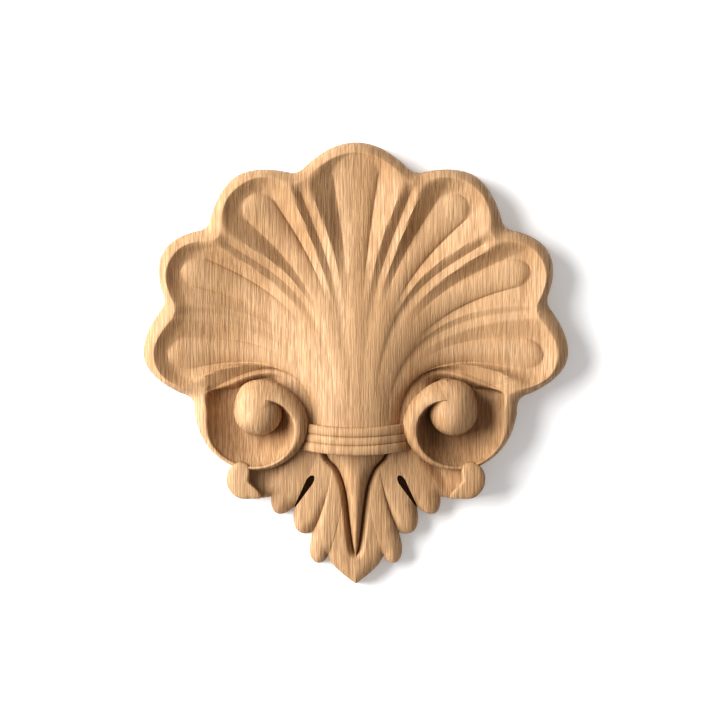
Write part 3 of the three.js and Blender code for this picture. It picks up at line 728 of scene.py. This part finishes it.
def band_nodes(wood):
    """Three rounded fillets that tie the neck, bowed down in the middle."""
    nodes = ReliefNodes(
        "neck_band", ("Half Width", "Band Width", "Band Crown", "Band Wrap", "Fillet Bulge")
    )

    def surface(x, y):
        half = nodes.size("Half Width")
        s = x * 2 - 1
        third = nodes.lowest(nodes.math("FLOOR", y * 3), 2)
        a = y * 3 - third
        starts = nodes.pick(third, FILLET_STARTS)
        part = nodes.pick(third, FILLET_SHARES)
        proud = nodes.pick(third, FILLET_PROUD)
        bulge = nodes.size("Fillet Bulge") * proud * nodes.sine(a * 180) ** FILLET_ROUNDING
        up = (
            BAND_TOP_UP * half
            + (s * s - 1) * BAND_SAG * half
            - (starts + part * a) * nodes.size("Band Width")
        )
        wrap = nodes.size("Band Wrap") * (1 - nodes.dome(s * BAND_ARC))
        height = nodes.size("Band Crown") - nodes.size("Fillet Bulge") - wrap + bulge
        return s * half * BAND_HALF, up, height

    nodes.slab(columns=61, rows=49, surface=surface, wood=wood)
    return nodes


def stem_nodes(wood):
    """Tapered stem down the middle of the leaf."""
    nodes = ReliefNodes("leaf_stem", ("Half Width", "Stem Top", "Stem Crown"))

    def surface(x, y):
        half = nodes.size("Half Width")
        top = nodes.size("Stem Top")
        length = top - STEM_TIP_UP * half
        width = nodes.through(STEM_STATIONS, STEM_WIDTHS, y) * half
        crown = nodes.through(STEM_STATIONS, STEM_CROWNS, y) * nodes.size("Stem Crown")
        v = nodes.sine((x - 0.5) * 180)
        return width * v, top - y * length, mix(crown * STEM_EDGE, crown, nodes.dome(v))

    nodes.slab(columns=25, rows=81, surface=surface, wood=wood)
    return nodes


def leaf_nodes(wood):
    """Leaf under the band: lobes on both sides of the pointed tip, and the webs to the knobs."""
    labels = (
        "Half Width", "Leaf Crown", "Leaf Edge", "Leaf Round", "Valley", "Web Height", "Web Scoop",
        "Stem Top", "Trench Width", "Trench Depth",
    )
    nodes = ReliefNodes("acanthus_leaf", labels)
    half = nodes.size("Half Width")
    lobes = len(LOBE_NEAR)

    def outline(v):
        lobe = nodes.clamp(nodes.math("FLOOR", v), 0, lobes - 1)
        corners = []
        for line, handles, first in (
            ((LEAF_NOTCH_ACROSS, LEAF_NOTCH_UP), LOBE_NEAR, 0),
            ((LEAF_NOTCH_ACROSS, LEAF_NOTCH_UP), LOBE_FAR, 1),
        ):
            notch = [[axis[k + first] for k in range(lobes)] for axis in line]
            handle = [[notch[i][k] + handles[k][i] for k in range(lobes)] for i in range(2)]
            corners.append(tuple(nodes.pick(lobe, values) for values in notch))
            corners.append(tuple(nodes.pick(lobe, values) for values in handle))
        start, near, end, far = corners
        across, up = cubic(start, near, far, end, v - lobe)
        return across * half, up * half

    def flow(v, t):
        start = tuple(
            nodes.through(LEAF_NOTCHES, line, v) * half for line in (LEAF_ROOT_ACROSS, LEAF_ROOT_UP)
        )
        end = outline(v)
        lean = nodes.through(LEAF_NOTCHES, LEAF_LEAN, v)
        arm = nodes.apart(start, end) * LOBE_BEND
        bend = (end[0] - arm * nodes.sine(lean), end[1] + arm * nodes.cosine(lean))
        q = 1 - t
        return tuple(q * q * start[i] + 2 * q * t * bend[i] + t * t * end[i] for i in range(2))

    def border():
        """The outline as a line of edges, to measure distances from."""
        points = 361
        line = nodes.make("GeometryNodeMeshLine", {}, {"Count": points})
        index = nodes.field("GeometryNodeInputIndex")
        wide = index / (points - 1) * (2 * lobes) - lobes
        across, up = outline(abs(wide))
        spot = nodes.make("ShaderNodeCombineXYZ", {}, {0: nodes.math("SIGN", wide) * across, 2: up})
        return nodes.move(line.outputs[0], spot.outputs[0])

    edge_line = border()

    def surface(x, y):
        wide = (x - 0.5) * (2 * lobes)
        side = nodes.math("SIGN", wide)
        v = abs(wide)
        t = 1 - (1 - y) ** LEAF_BUNCHING
        across, up = flow(v, t)
        spot = nodes.make("ShaderNodeCombineXYZ", {}, {0: side * across, 2: up})
        near = nodes.make(
            "GeometryNodeProximity",
            {"target_element": "EDGES"},
            {0: edge_line.outputs[0], "Sample Position": spot.outputs[0]},
        )
        inset = Field(nodes, near.outputs["Distance"])
        lobe = nodes.size("Leaf Crown") * mix(*LOBE_CROWNS, t)
        scoop = nodes.sine(nodes.clamp(v - WEB_LOBE, 0, 1) * 180)
        web = nodes.size("Web Height") - nodes.size("Web Scoop") * scoop
        crown = mix(lobe, web, nodes.ease(*WEB_BLEND, v))
        apart = nodes.highest(1 - abs(v - SOFT_VALLEY) / VALLEY_REACH, 0)
        valley = nodes.size("Valley") * apart * apart * nodes.ease(*VALLEY_DEEPENS, t)
        down = (nodes.size("Stem Top") - up) / (nodes.size("Stem Top") - STEM_TIP_UP * half)
        stem = nodes.through(STEM_STATIONS, STEM_WIDTHS, down) * half
        beside = abs(across - stem) / nodes.size("Trench Width")
        trench = nodes.size("Trench Depth") * nodes.highest(1 - beside, 0) ** TRENCH_CURVE
        trench = trench * (1 - nodes.ease(*TRENCH_ENDS, down))
        edge = nodes.lowest(nodes.size("Leaf Edge"), web - WEB_EDGE_DROP)
        rounding = nodes.dome(nodes.highest(1 - inset / nodes.size("Leaf Round"), 0))
        return side * across, up, mix(edge, crown - valley - trench, rounding)

    nodes.slab(columns=281, rows=61, surface=surface, wood=wood)
    return nodes


def slit_nodes(wood):
    """Teardrop cutter between the first two lobes of the leaf."""
    nodes = ReliefNodes("leaf_slit", ("Side", "Half Width", "Slit Width", "Cut Height"))
    run = math.dist(SLIT_HEAD, SLIT_TAIL)
    ahead = tuple((SLIT_TAIL[i] - SLIT_HEAD[i]) / run for i in range(2))

    def surface(x, y):
        half = nodes.size("Half Width")
        past_head = nodes.clamp((y - SLIT_HEAD_SHARE) / (1 - SLIT_HEAD_SHARE), 0, 1)
        narrow = mix(1.0, SLIT_TAIL_WIDTH, past_head)
        to_head = nodes.highest(1 - y / SLIT_HEAD_SHARE, 0)
        round_head = nodes.highest(nodes.dome(to_head), SLIT_LEAST_WIDTH)
        width = nodes.size("Slit Width") * (x - 0.5) * narrow * round_head
        across = mix(SLIT_HEAD[0], SLIT_TAIL[0], y) * half - ahead[1] * width
        up = mix(SLIT_HEAD[1], SLIT_TAIL[1], y) * half + ahead[0] * width
        return nodes.size("Side") * across, up, x * 0 + nodes.size("Cut Height")

    nodes.slab(columns=5, rows=31, surface=surface, wood=wood)
    return nodes


def knob_nodes(wood):
    """Curled knob with a toe that curls in under it."""
    nodes = ReliefNodes("curled_knob", ("Side", "Half Width", "Knob Crown"))

    def surface(x, y):
        half = nodes.size("Half Width")
        turn = x * 360
        far = nodes.sine(y * 90)
        reach = nodes.through(KNOB_TURN, KNOB_REACH, turn) * far
        across = reach * nodes.cosine(turn) - KNOB_LEAN * (1 - far)
        return (
            nodes.size("Side") * (KNOB_CENTRE[0] + across) * half,
            (KNOB_CENTRE[1] + reach * nodes.sine(turn)) * half,
            nodes.size("Knob Crown") * mix(KNOB_SKIRT, 1.0, nodes.cosine(y * 90) ** KNOB_ROUNDING),
        )

    nodes.slab(columns=91, rows=17, surface=surface, wood=wood)
    return nodes


def pair(name, nodes, sizes):
    """The left and the right one of a piece that comes twice."""
    sides = (("left", -1), ("right", 1))
    return [carve(f"{name}_{word}", nodes, {**sizes, "Side": side}) for word, side in sides]


def joined(base, others, operation):
    """The base with the other solids added to it or cut out of it; the others are used up."""
    shelf = bpy.data.collections.new("others")
    bpy.context.scene.collection.children.link(shelf)
    for other in others:
        bpy.context.collection.objects.unlink(other)
        shelf.objects.link(other)
    modifier = base.modifiers.new("join", "BOOLEAN")
    modifier.operation = operation
    modifier.operand_type = "COLLECTION"
    modifier.collection = shelf
    modifier.solver = "MANIFOLD"
    view = bpy.context.evaluated_depsgraph_get()
    mesh = bpy.data.meshes.new_from_object(base.evaluated_get(view))
    base.modifiers.clear()
    if not mesh.polygons:
        raise RuntimeError(f"{base.name} came out empty")
    base.data = mesh
    for other in others:
        bpy.data.objects.remove(other)
    bpy.data.collections.remove(shelf)
    return base


# Finishes


class ShaderNodes(Nodes):
    """A material's tree with its one shader."""

    def __init__(self, name):
        self.material = bpy.data.materials.new(name)
        self.material.use_nodes = True
        super().__init__(self.material.node_tree)
        self.tree.nodes.clear()
        self.shader = self.make("ShaderNodeBsdfPrincipled")
        ending = self.make("ShaderNodeOutputMaterial")
        self.feed(ending.inputs["Surface"], self.shader.outputs[0])
        self.ending = ending
        place = self.make("ShaderNodeTexCoord")
        self.place = place.outputs["Object"]

    def noise(self, grain, detail, roughness=0.5):
        """Noise that changes over the grain's lengths across, out of and up the board."""
        scale = tuple(1 / run for run in grain)
        spot = self.make("ShaderNodeMapping", {}, {"Vector": self.place, "Scale": scale})
        return self.field(
            "ShaderNodeTexNoise",
            {},
            {"Vector": spot.outputs[0], "Scale": 1.0, "Detail": detail, "Roughness": roughness},
        )

    def blend(self, first, second, share):
        node = self.make("ShaderNodeMix", {"data_type": "RGBA"}, {0: share, 6: first, 7: second})
        return node.outputs[2]


def wood_finish(look):
    """Pale oiled wood with upright grain, soft bands and fine upright pores."""
    nodes = ShaderNodes("pale_carved_wood")
    pores = nodes.noise(PORE_GRAIN, 0.0)
    threads = nodes.noise(THREAD_GRAIN, 0.0)
    fibres = nodes.noise(FIBRE_GRAIN, 3.0, 0.6)
    bands = nodes.noise(BAND_GRAIN, 2.0)
    clouds = nodes.noise(CLOUD_GRAIN, 2.0)
    pore = nodes.ease(*PORE_SPAN, pores)
    thread = nodes.ease(*THREAD_SPAN, threads)
    streak = nodes.ease(*STREAK_SPAN, fibres)
    band = nodes.ease(*BAND_SPAN, bands)
    cloud = nodes.ease(*CLOUD_SPAN, clouds)
    tone = nodes.blend(tuple(look.wood_light), tuple(look.wood_mid), band)
    tone = nodes.blend(tone, tuple(look.wood_dark), streak * STREAK_SHARE)
    tone = nodes.blend(tone, tuple(look.pore_colour), pore * PORE_SHARE + thread * THREAD_SHARE)
    tone = nodes.blend(tone, tuple(look.wood_mid), cloud * CLOUD_SHARE)
    relief = fibres * FIBRE_RELIEF - pore * PORE_RELIEF
    bump = nodes.make(
        "ShaderNodeBump", {}, {"Height": relief, "Distance": PORE_DEPTH, "Strength": RELIEF_STRENGTH}
    )
    roughness = WOOD_ROUGHNESS + pore * PORE_ROUGHNESS + streak * STREAK_ROUGHNESS
    nodes.feed(nodes.shader.inputs["Base Color"], tone)
    nodes.feed(nodes.shader.inputs["Roughness"], roughness)
    nodes.feed(nodes.shader.inputs["Normal"], bump.outputs[0])
    nodes.feed(nodes.shader.inputs["Specular IOR Level"], WOOD_SPECULAR)
    return nodes.material


def wall_finish(look):
    """Plain pale wall, clear from behind so that the flat back can be seen."""
    nodes = ShaderNodes("pale_wall")
    nodes.feed(nodes.shader.inputs["Base Color"], tuple(look.wall_colour))
    nodes.feed(nodes.shader.inputs["Roughness"], WALL_ROUGHNESS)
    nodes.feed(nodes.shader.inputs["Specular IOR Level"], 0.0)
    nodes.feed(nodes.shader.inputs["Emission Color"], tuple(look.wall_colour))
    nodes.feed(nodes.shader.inputs["Emission Strength"], WALL_GLOW)
    clear = nodes.make("ShaderNodeBsdfTransparent")
    side = nodes.make("ShaderNodeNewGeometry")
    both = nodes.make(
        "ShaderNodeMixShader",
        {},
        {0: side.outputs["Backfacing"], 1: nodes.shader.outputs[0], 2: clear.outputs[0]},
    )
    nodes.feed(nodes.ending.inputs["Surface"], both.outputs[0])
    return nodes.material


# Sizes and looks that a user may change


def length(name, description, default):
    return bpy.props.FloatProperty(name=name, description=description, default=default, unit="LENGTH")


def colour(name, description, default):
    return bpy.props.FloatVectorProperty(
        name=name, description=description, default=default, size=4, subtype="COLOR", min=0, max=1
    )


class CarvingSizes(bpy.types.PropertyGroup):
    """Sizes of the carving; heights are measured out of the flat back."""

    panel_width: length("Panel width", "Width of the carving over its widest lobes", 0.150)
    rim_height: length("Rim height", "Height of the shell's rim", 0.015)
    rim_round: length("Rim round", "Fall of the rim from its crest to the outline", 0.005)
    rim_wall: length("Rim wall", "Width of the slope inside the rim's crest", 0.0055)
    dish_floor: length("Dish floor", "Lowest height inside the shell", 0.006)
    hollow: length("Hollow", "Rise of the dish towards its rim", 0.007)
    neck_crown: length("Neck crown", "Height of the neck in its middle", 0.0215)
    neck_flank: length("Neck flank", "Height of the neck at its sides", 0.0105)
    rib_rise: length("Rib rise", "Rise of the ribs above the petals' creases", 0.0046)
    petal_bulge: length("Petal bulge", "Swelling of each petal between two ribs", 0.0017)
    petal_tip: length("Petal tip", "Length of each petal's rounded end", 0.006)
    petal_inset: length("Petal inset", "Distance from the rim's crest to each petal's end", 0.0048)
    groove_depth: length("Groove depth", "Depth of the groove along each rib", 0.0025)
    skirt_crest: length("Skirt crest", "Distance from the last groove to its outer crest", 0.0016)
    ball_diameter: length("Ball diameter", "Diameter of the volutes' ball eyes", 0.017)
    ball_crown: length("Ball crown", "Height of the balls' tops", 0.023)
    band_width: length("Band width", "Width of the band of three fillets", 0.0098)
    band_crown: length("Band crown", "Height of the band in its middle", 0.0235)
    band_wrap: length("Band wrap", "Fall of the band from its middle to its ends", 0.016)
    fillet_bulge: length("Fillet bulge", "Swelling of each fillet of the band", 0.0009)
    stem_crown: length("Stem crown", "Height of the stem under the band", 0.016)
    leaf_crown: length("Leaf crown", "Height of the leaf in its middle", 0.012)
    leaf_edge: length("Leaf edge", "Height of the leaf's cut edge", 0.007)
    leaf_round: length("Leaf round", "Width of the rounding inside the leaf's edge", 0.0045)
    valley: length("Valley", "Depth of the soft valley between two lobes", 0.0014)
    web_height: length("Web height", "Height of the leaf between its first lobe and the knob", 0.01)
    web_scoop: length("Web scoop", "Hollow in the web beside the knob", 0.001)
    trench_width: length("Trench width", "Reach of the trench on each side of the stem", 0.0024)
    trench_depth: length("Trench depth", "Depth of the trench beside the stem", 0.004)
    slit_width: length("Slit width", "Width of the slit's round head", 0.0026)
    slit_floor: length("Slit floor", "Wood left under the slit", 0.003)
    knob_crown: length("Knob crown", "Height of the curled knobs", 0.0162)


class CarvingLooks(bpy.types.PropertyGroup):
    """Colours of the wood and the wall, and the light."""

    wood_light: colour("Light wood", "Colour of the palest wood", (0.525, 0.331, 0.18, 1))
    wood_mid: colour("Middle wood", "Colour of the darker bands", (0.46, 0.276, 0.14, 1))
    wood_dark: colour("Dark wood", "Colour of the grain streaks", (0.31, 0.171, 0.078, 1))
    pore_colour: colour("Pore", "Colour of the short pores", (0.17, 0.086, 0.038, 1))
    wall_colour: colour("Wall", "Colour of the wall", (0.9, 0.9, 0.9, 1))
    key_power: bpy.props.FloatProperty(
        name="Key light", description="Power of the main light in watts", default=12.0, min=0
    )
    fill_strength: bpy.props.FloatProperty(
        name="Fill light", description="Strength of the even light from all round", default=0.31, min=0
    )


# Operators


def labelled(sizes):
    """The sizes under the names that the relief trees give them."""
    names = type(sizes).__annotations__
    half = sizes.panel_width / 2
    return {
        **{name.replace("_", " ").title(): getattr(sizes, name) for name in names},
        "Half Width": half,
        "Eye Across": EYE_ACROSS * half,
        "Eye Up": EYE_UP * half,
        "Eye Radius": sizes.ball_diameter / 2,
        "Bowl Floor": sizes.ball_crown * BOWL_FLOOR_RISE,
        "Stem Top": (BAND_TOP_UP - BAND_SAG) * half - sizes.band_width * STEM_UNDER_BAND,
        "Cut Height": CUT_HEIGHT,
    }


def wood_material():
    found = bpy.data.materials.get("pale_carved_wood")
    return found or wood_finish(bpy.context.scene.carving_looks)


def stock(context):
    """The labelled sizes and the wood that every carved form needs."""
    return labelled(context.scene.carving_sizes), wood_material()


def part(name):
    found = bpy.data.objects.get(name)
    if found is None:
        raise RuntimeError(f"{name} hasn't been carved yet")
    return found


class CARVING_OT_dish(bpy.types.Operator):
    """Carve the scallop dish with its ribs, petals and rim"""

    bl_idname = "carving.dish"
    bl_label = "Carve Dish"

    def execute(self, context):
        sizes, wood = stock(context)
        dish = carve("dish", dish_nodes(wood), sizes)
        skirts = pair("skirt", skirt_nodes(wood), sizes)
        joined(dish, skirts, "UNION")
        return {"FINISHED"}


class CARVING_OT_volutes(bpy.types.Operator):
    """Carve both volutes: bowl, rolled rim and ball eye"""

    bl_idname = "carving.volutes"
    bl_label = "Carve Volutes"

    def execute(self, context):
        sizes, wood = stock(context)
        bowls = pair("volute", bowl_nodes(wood), sizes)
        rolls = pair("roll", roll_nodes(wood), sizes)
        balls = pair("ball", ball_nodes(wood), sizes)
        for bowl, roll, ball in zip(bowls, rolls, balls):
            joined(bowl, [roll, ball], "UNION")
        return {"FINISHED"}


class CARVING_OT_band(bpy.types.Operator):
    """Carve the band of three fillets and the stem below it"""

    bl_idname = "carving.band"
    bl_label = "Carve Band and Stem"

    def execute(self, context):
        sizes, wood = stock(context)
        band = carve("band", band_nodes(wood), sizes)
        stem = carve("stem", stem_nodes(wood), sizes)
        joined(band, [stem], "UNION")
        return {"FINISHED"}


class CARVING_OT_leaf(bpy.types.Operator):
    """Carve the leaf, its slits and the curled knobs"""

    bl_idname = "carving.leaf"
    bl_label = "Carve Leaf"

    def execute(self, context):
        sizes, wood = stock(context)
        leaf = carve("leaf", leaf_nodes(wood), sizes)
        slits = pair("slit", slit_nodes(wood), sizes)
        for slit in slits:
            self.raise_floor(slit, sizes["Slit Floor"])
        joined(leaf, slits, "DIFFERENCE")
        joined(leaf, pair("knob", knob_nodes(wood), sizes), "UNION")
        return {"FINISHED"}

    def raise_floor(self, cutter, floor):
        for vertex in cutter.data.vertices:
            vertex.co.y -= floor


class CARVING_OT_insert(bpy.types.Operator):
    """Join everything into one carved block and fit it to the frame"""

    bl_idname = "carving.insert"
    bl_label = "Join Insert"

    LUG_SOFTENING = ((0.0062, 8), (0.005, 16), (0.004, 24))
    SOFTENING_SHARE = 0.5
    BACK_EDGE = 0.001
    SHARP_DEGREES = 40
    MERGE_REACH = 2e-6

    def execute(self, context):
        sizes = context.scene.carving_sizes
        others = [part(name) for name in ("volute_left", "volute_right", "leaf", "band")]
        block = joined(part("dish"), others, "UNION")
        block.name = DRESSED
        block.data.name = DRESSED
        self.soften_lugs(block.data, sizes)
        self.plane_back(block.data)
        self.keep_inside(block.data)
        block.data.materials.clear()
        block.data.materials.append(wood_material())
        for face in block.data.polygons:
            face.use_smooth = True
            face.material_index = 0
        block.data.set_sharp_from_angle(angle=math.radians(self.SHARP_DEGREES))
        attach(block, BODY)
        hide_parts(NODE)
        return {"FINISHED"}

    def soften_lugs(self, mesh, sizes):
        """Rounds the corner where each lug runs into the shell's rim."""
        shell = bmesh.new()
        shell.from_mesh(mesh)
        across = (RIB_ACROSS[-1] + NOTCH_ACROSS[-1]) / 2 * sizes.panel_width / 2
        up = (RIB_UP[-1] + NOTCH_UP[-1]) / 2 * sizes.panel_width / 2
        share = self.SOFTENING_SHARE
        for reach, rounds in self.LUG_SOFTENING:
            near = [v for v in shell.verts if math.hypot(abs(v.co.x) - across, v.co.z - up) < reach]
            front = [v for v in near if v.co.y < -self.BACK_EDGE]
            for _ in range(rounds):
                bmesh.ops.smooth_vert(shell, verts=near, factor=share, use_axis_x=True, use_axis_z=True)
                bmesh.ops.smooth_vert(shell, verts=front, factor=share, use_axis_y=True)
        shell.to_mesh(mesh)
        shell.free()

    def keep_inside(self, mesh):
        """Trims the hair's breadth by which a lobe stands out of the frame's box."""
        low, high = CAD_BOX
        for vertex in mesh.vertices:
            vertex.co = [min(max(vertex.co[i], low[i]), high[i]) for i in range(3)]

    def plane_back(self, mesh):
        """Merges stray points and makes the flat back afresh as one face."""
        shell = bmesh.new()
        shell.from_mesh(mesh)
        bmesh.ops.remove_doubles(shell, verts=shell.verts, dist=self.MERGE_REACH)
        flat = [f for f in shell.faces if all(abs(v.co.y) < POINT_REACH for v in f.verts)]
        bmesh.ops.delete(shell, geom=flat, context="FACES")
        rim = [edge for edge in shell.edges if edge.is_boundary]
        bmesh.ops.contextual_create(shell, geom=rim)
        bmesh.ops.triangulate(shell, faces=[face for face in shell.faces if len(face.verts) > 4])
        bmesh.ops.recalc_face_normals(shell, faces=shell.faces)
        for name in list(shell.verts.layers.float.keys()):
            shell.verts.layers.float.remove(shell.verts.layers.float[name])
        shell.to_mesh(mesh)
        shell.free()


class CARVING_OT_stage(bpy.types.Operator):
    """Set up the wall, the lights and the camera"""

    bl_idname = "carving.stage"
    bl_label = "Set Stage"

    FRAME_WIDTH = 0.2539
    FRAME_CENTRE = (0.00078, 0.00177)
    CAMERA_DISTANCE = 2.4
    SENSOR = 36.0
    WALL_GAP = 0.0004
    WALL_HALF = 1.5
    KEY_PLACE = (-0.54, -0.44, 0.13)
    KEY_SIZE = 0.7
    CLIP = (0.01, 20.0)

    def execute(self, context):
        look = context.scene.carving_looks
        self.wall(look)
        self.lights(context, look)
        self.camera(context)
        context.scene.view_settings.view_transform = "Standard"
        context.scene.view_settings.look = "Medium High Contrast"
        return {"FINISHED"}

    def wall(self, look):
        shape = bmesh.new()
        bmesh.ops.create_grid(shape, x_segments=1, y_segments=1, size=self.WALL_HALF)
        for vertex in shape.verts:
            vertex.co = (vertex.co.x, self.WALL_GAP, vertex.co.y)
        mesh = bpy.data.meshes.new("wall")
        shape.to_mesh(mesh)
        shape.free()
        if mesh.polygons[0].normal.y > 0:
            mesh.flip_normals()
        mesh.materials.append(wall_finish(look))
        wall = bpy.data.objects.new("wall", mesh)
        bpy.context.collection.objects.link(wall)

    def lights(self, context, look):
        world = bpy.data.worlds.new("studio")
        context.scene.world = world
        world.use_nodes = True
        sky = world.node_tree.nodes["Background"]
        sky.inputs["Color"].default_value = (1.0, 1.0, 1.0, 1.0)
        sky.inputs["Strength"].default_value = look.fill_strength
        lamp = bpy.data.lights.new("key", "AREA")
        lamp.shape = "DISK"
        lamp.size = self.KEY_SIZE
        lamp.energy = look.key_power
        key = bpy.data.objects.new("key", lamp)
        key.location = self.KEY_PLACE
        key.rotation_euler = key.location.to_track_quat("Z", "Y").to_euler()
        context.collection.objects.link(key)

    def camera(self, context):
        eye = bpy.data.cameras.new("camera")
        eye.sensor_width = self.SENSOR
        eye.lens = self.SENSOR * self.CAMERA_DISTANCE / self.FRAME_WIDTH
        eye.clip_start, eye.clip_end = self.CLIP
        holder = bpy.data.objects.new("camera", eye)
        holder.location = (self.FRAME_CENTRE[0], -self.CAMERA_DISTANCE, self.FRAME_CENTRE[1])
        holder.rotation_euler = (math.radians(90), 0.0, 0.0)
        context.collection.objects.link(holder)
        context.scene.camera = holder


class CARVING_PT_panel(bpy.types.Panel):
    """Lists the carving's steps and its sizes"""

    bl_idname = "CARVING_PT_panel"
    bl_label = "Carved Shell"
    bl_space_type = "VIEW_3D"
    bl_region_type = "UI"
    bl_category = "Carving"

    def draw(self, context):
        column = self.layout.column()
        for operator in OPERATORS:
            column.operator(operator.bl_idname)
        for group in (context.scene.carving_sizes, context.scene.carving_looks):
            for name in type(group).__annotations__:
                column.prop(group, name)


OPERATORS = (
    CARVING_OT_dish,
    CARVING_OT_volutes,
    CARVING_OT_band,
    CARVING_OT_leaf,
    CARVING_OT_insert,
    CARVING_OT_stage,
)
CLASSES = (CarvingSizes, CarvingLooks) + OPERATORS + (CARVING_PT_panel,)


def register():
    for each in CLASSES:
        bpy.utils.register_class(each)
    bpy.types.Scene.carving_sizes = bpy.props.PointerProperty(type=CarvingSizes)
    bpy.types.Scene.carving_looks = bpy.props.PointerProperty(type=CarvingLooks)


def unregister():
    del bpy.types.Scene.carving_looks
    del bpy.types.Scene.carving_sizes
    for each in reversed(CLASSES):
        bpy.utils.unregister_class(each)


def corners(box):
    return [[float(value) for value in corner] for corner in box]


def main():
    register()
    bpy.ops.carving.dish()
    bpy.ops.carving.volutes()
    bpy.ops.carving.band()
    bpy.ops.carving.leaf()
    bpy.ops.carving.insert()
    bpy.ops.carving.stage()


if __name__ == "__main__":
    main()
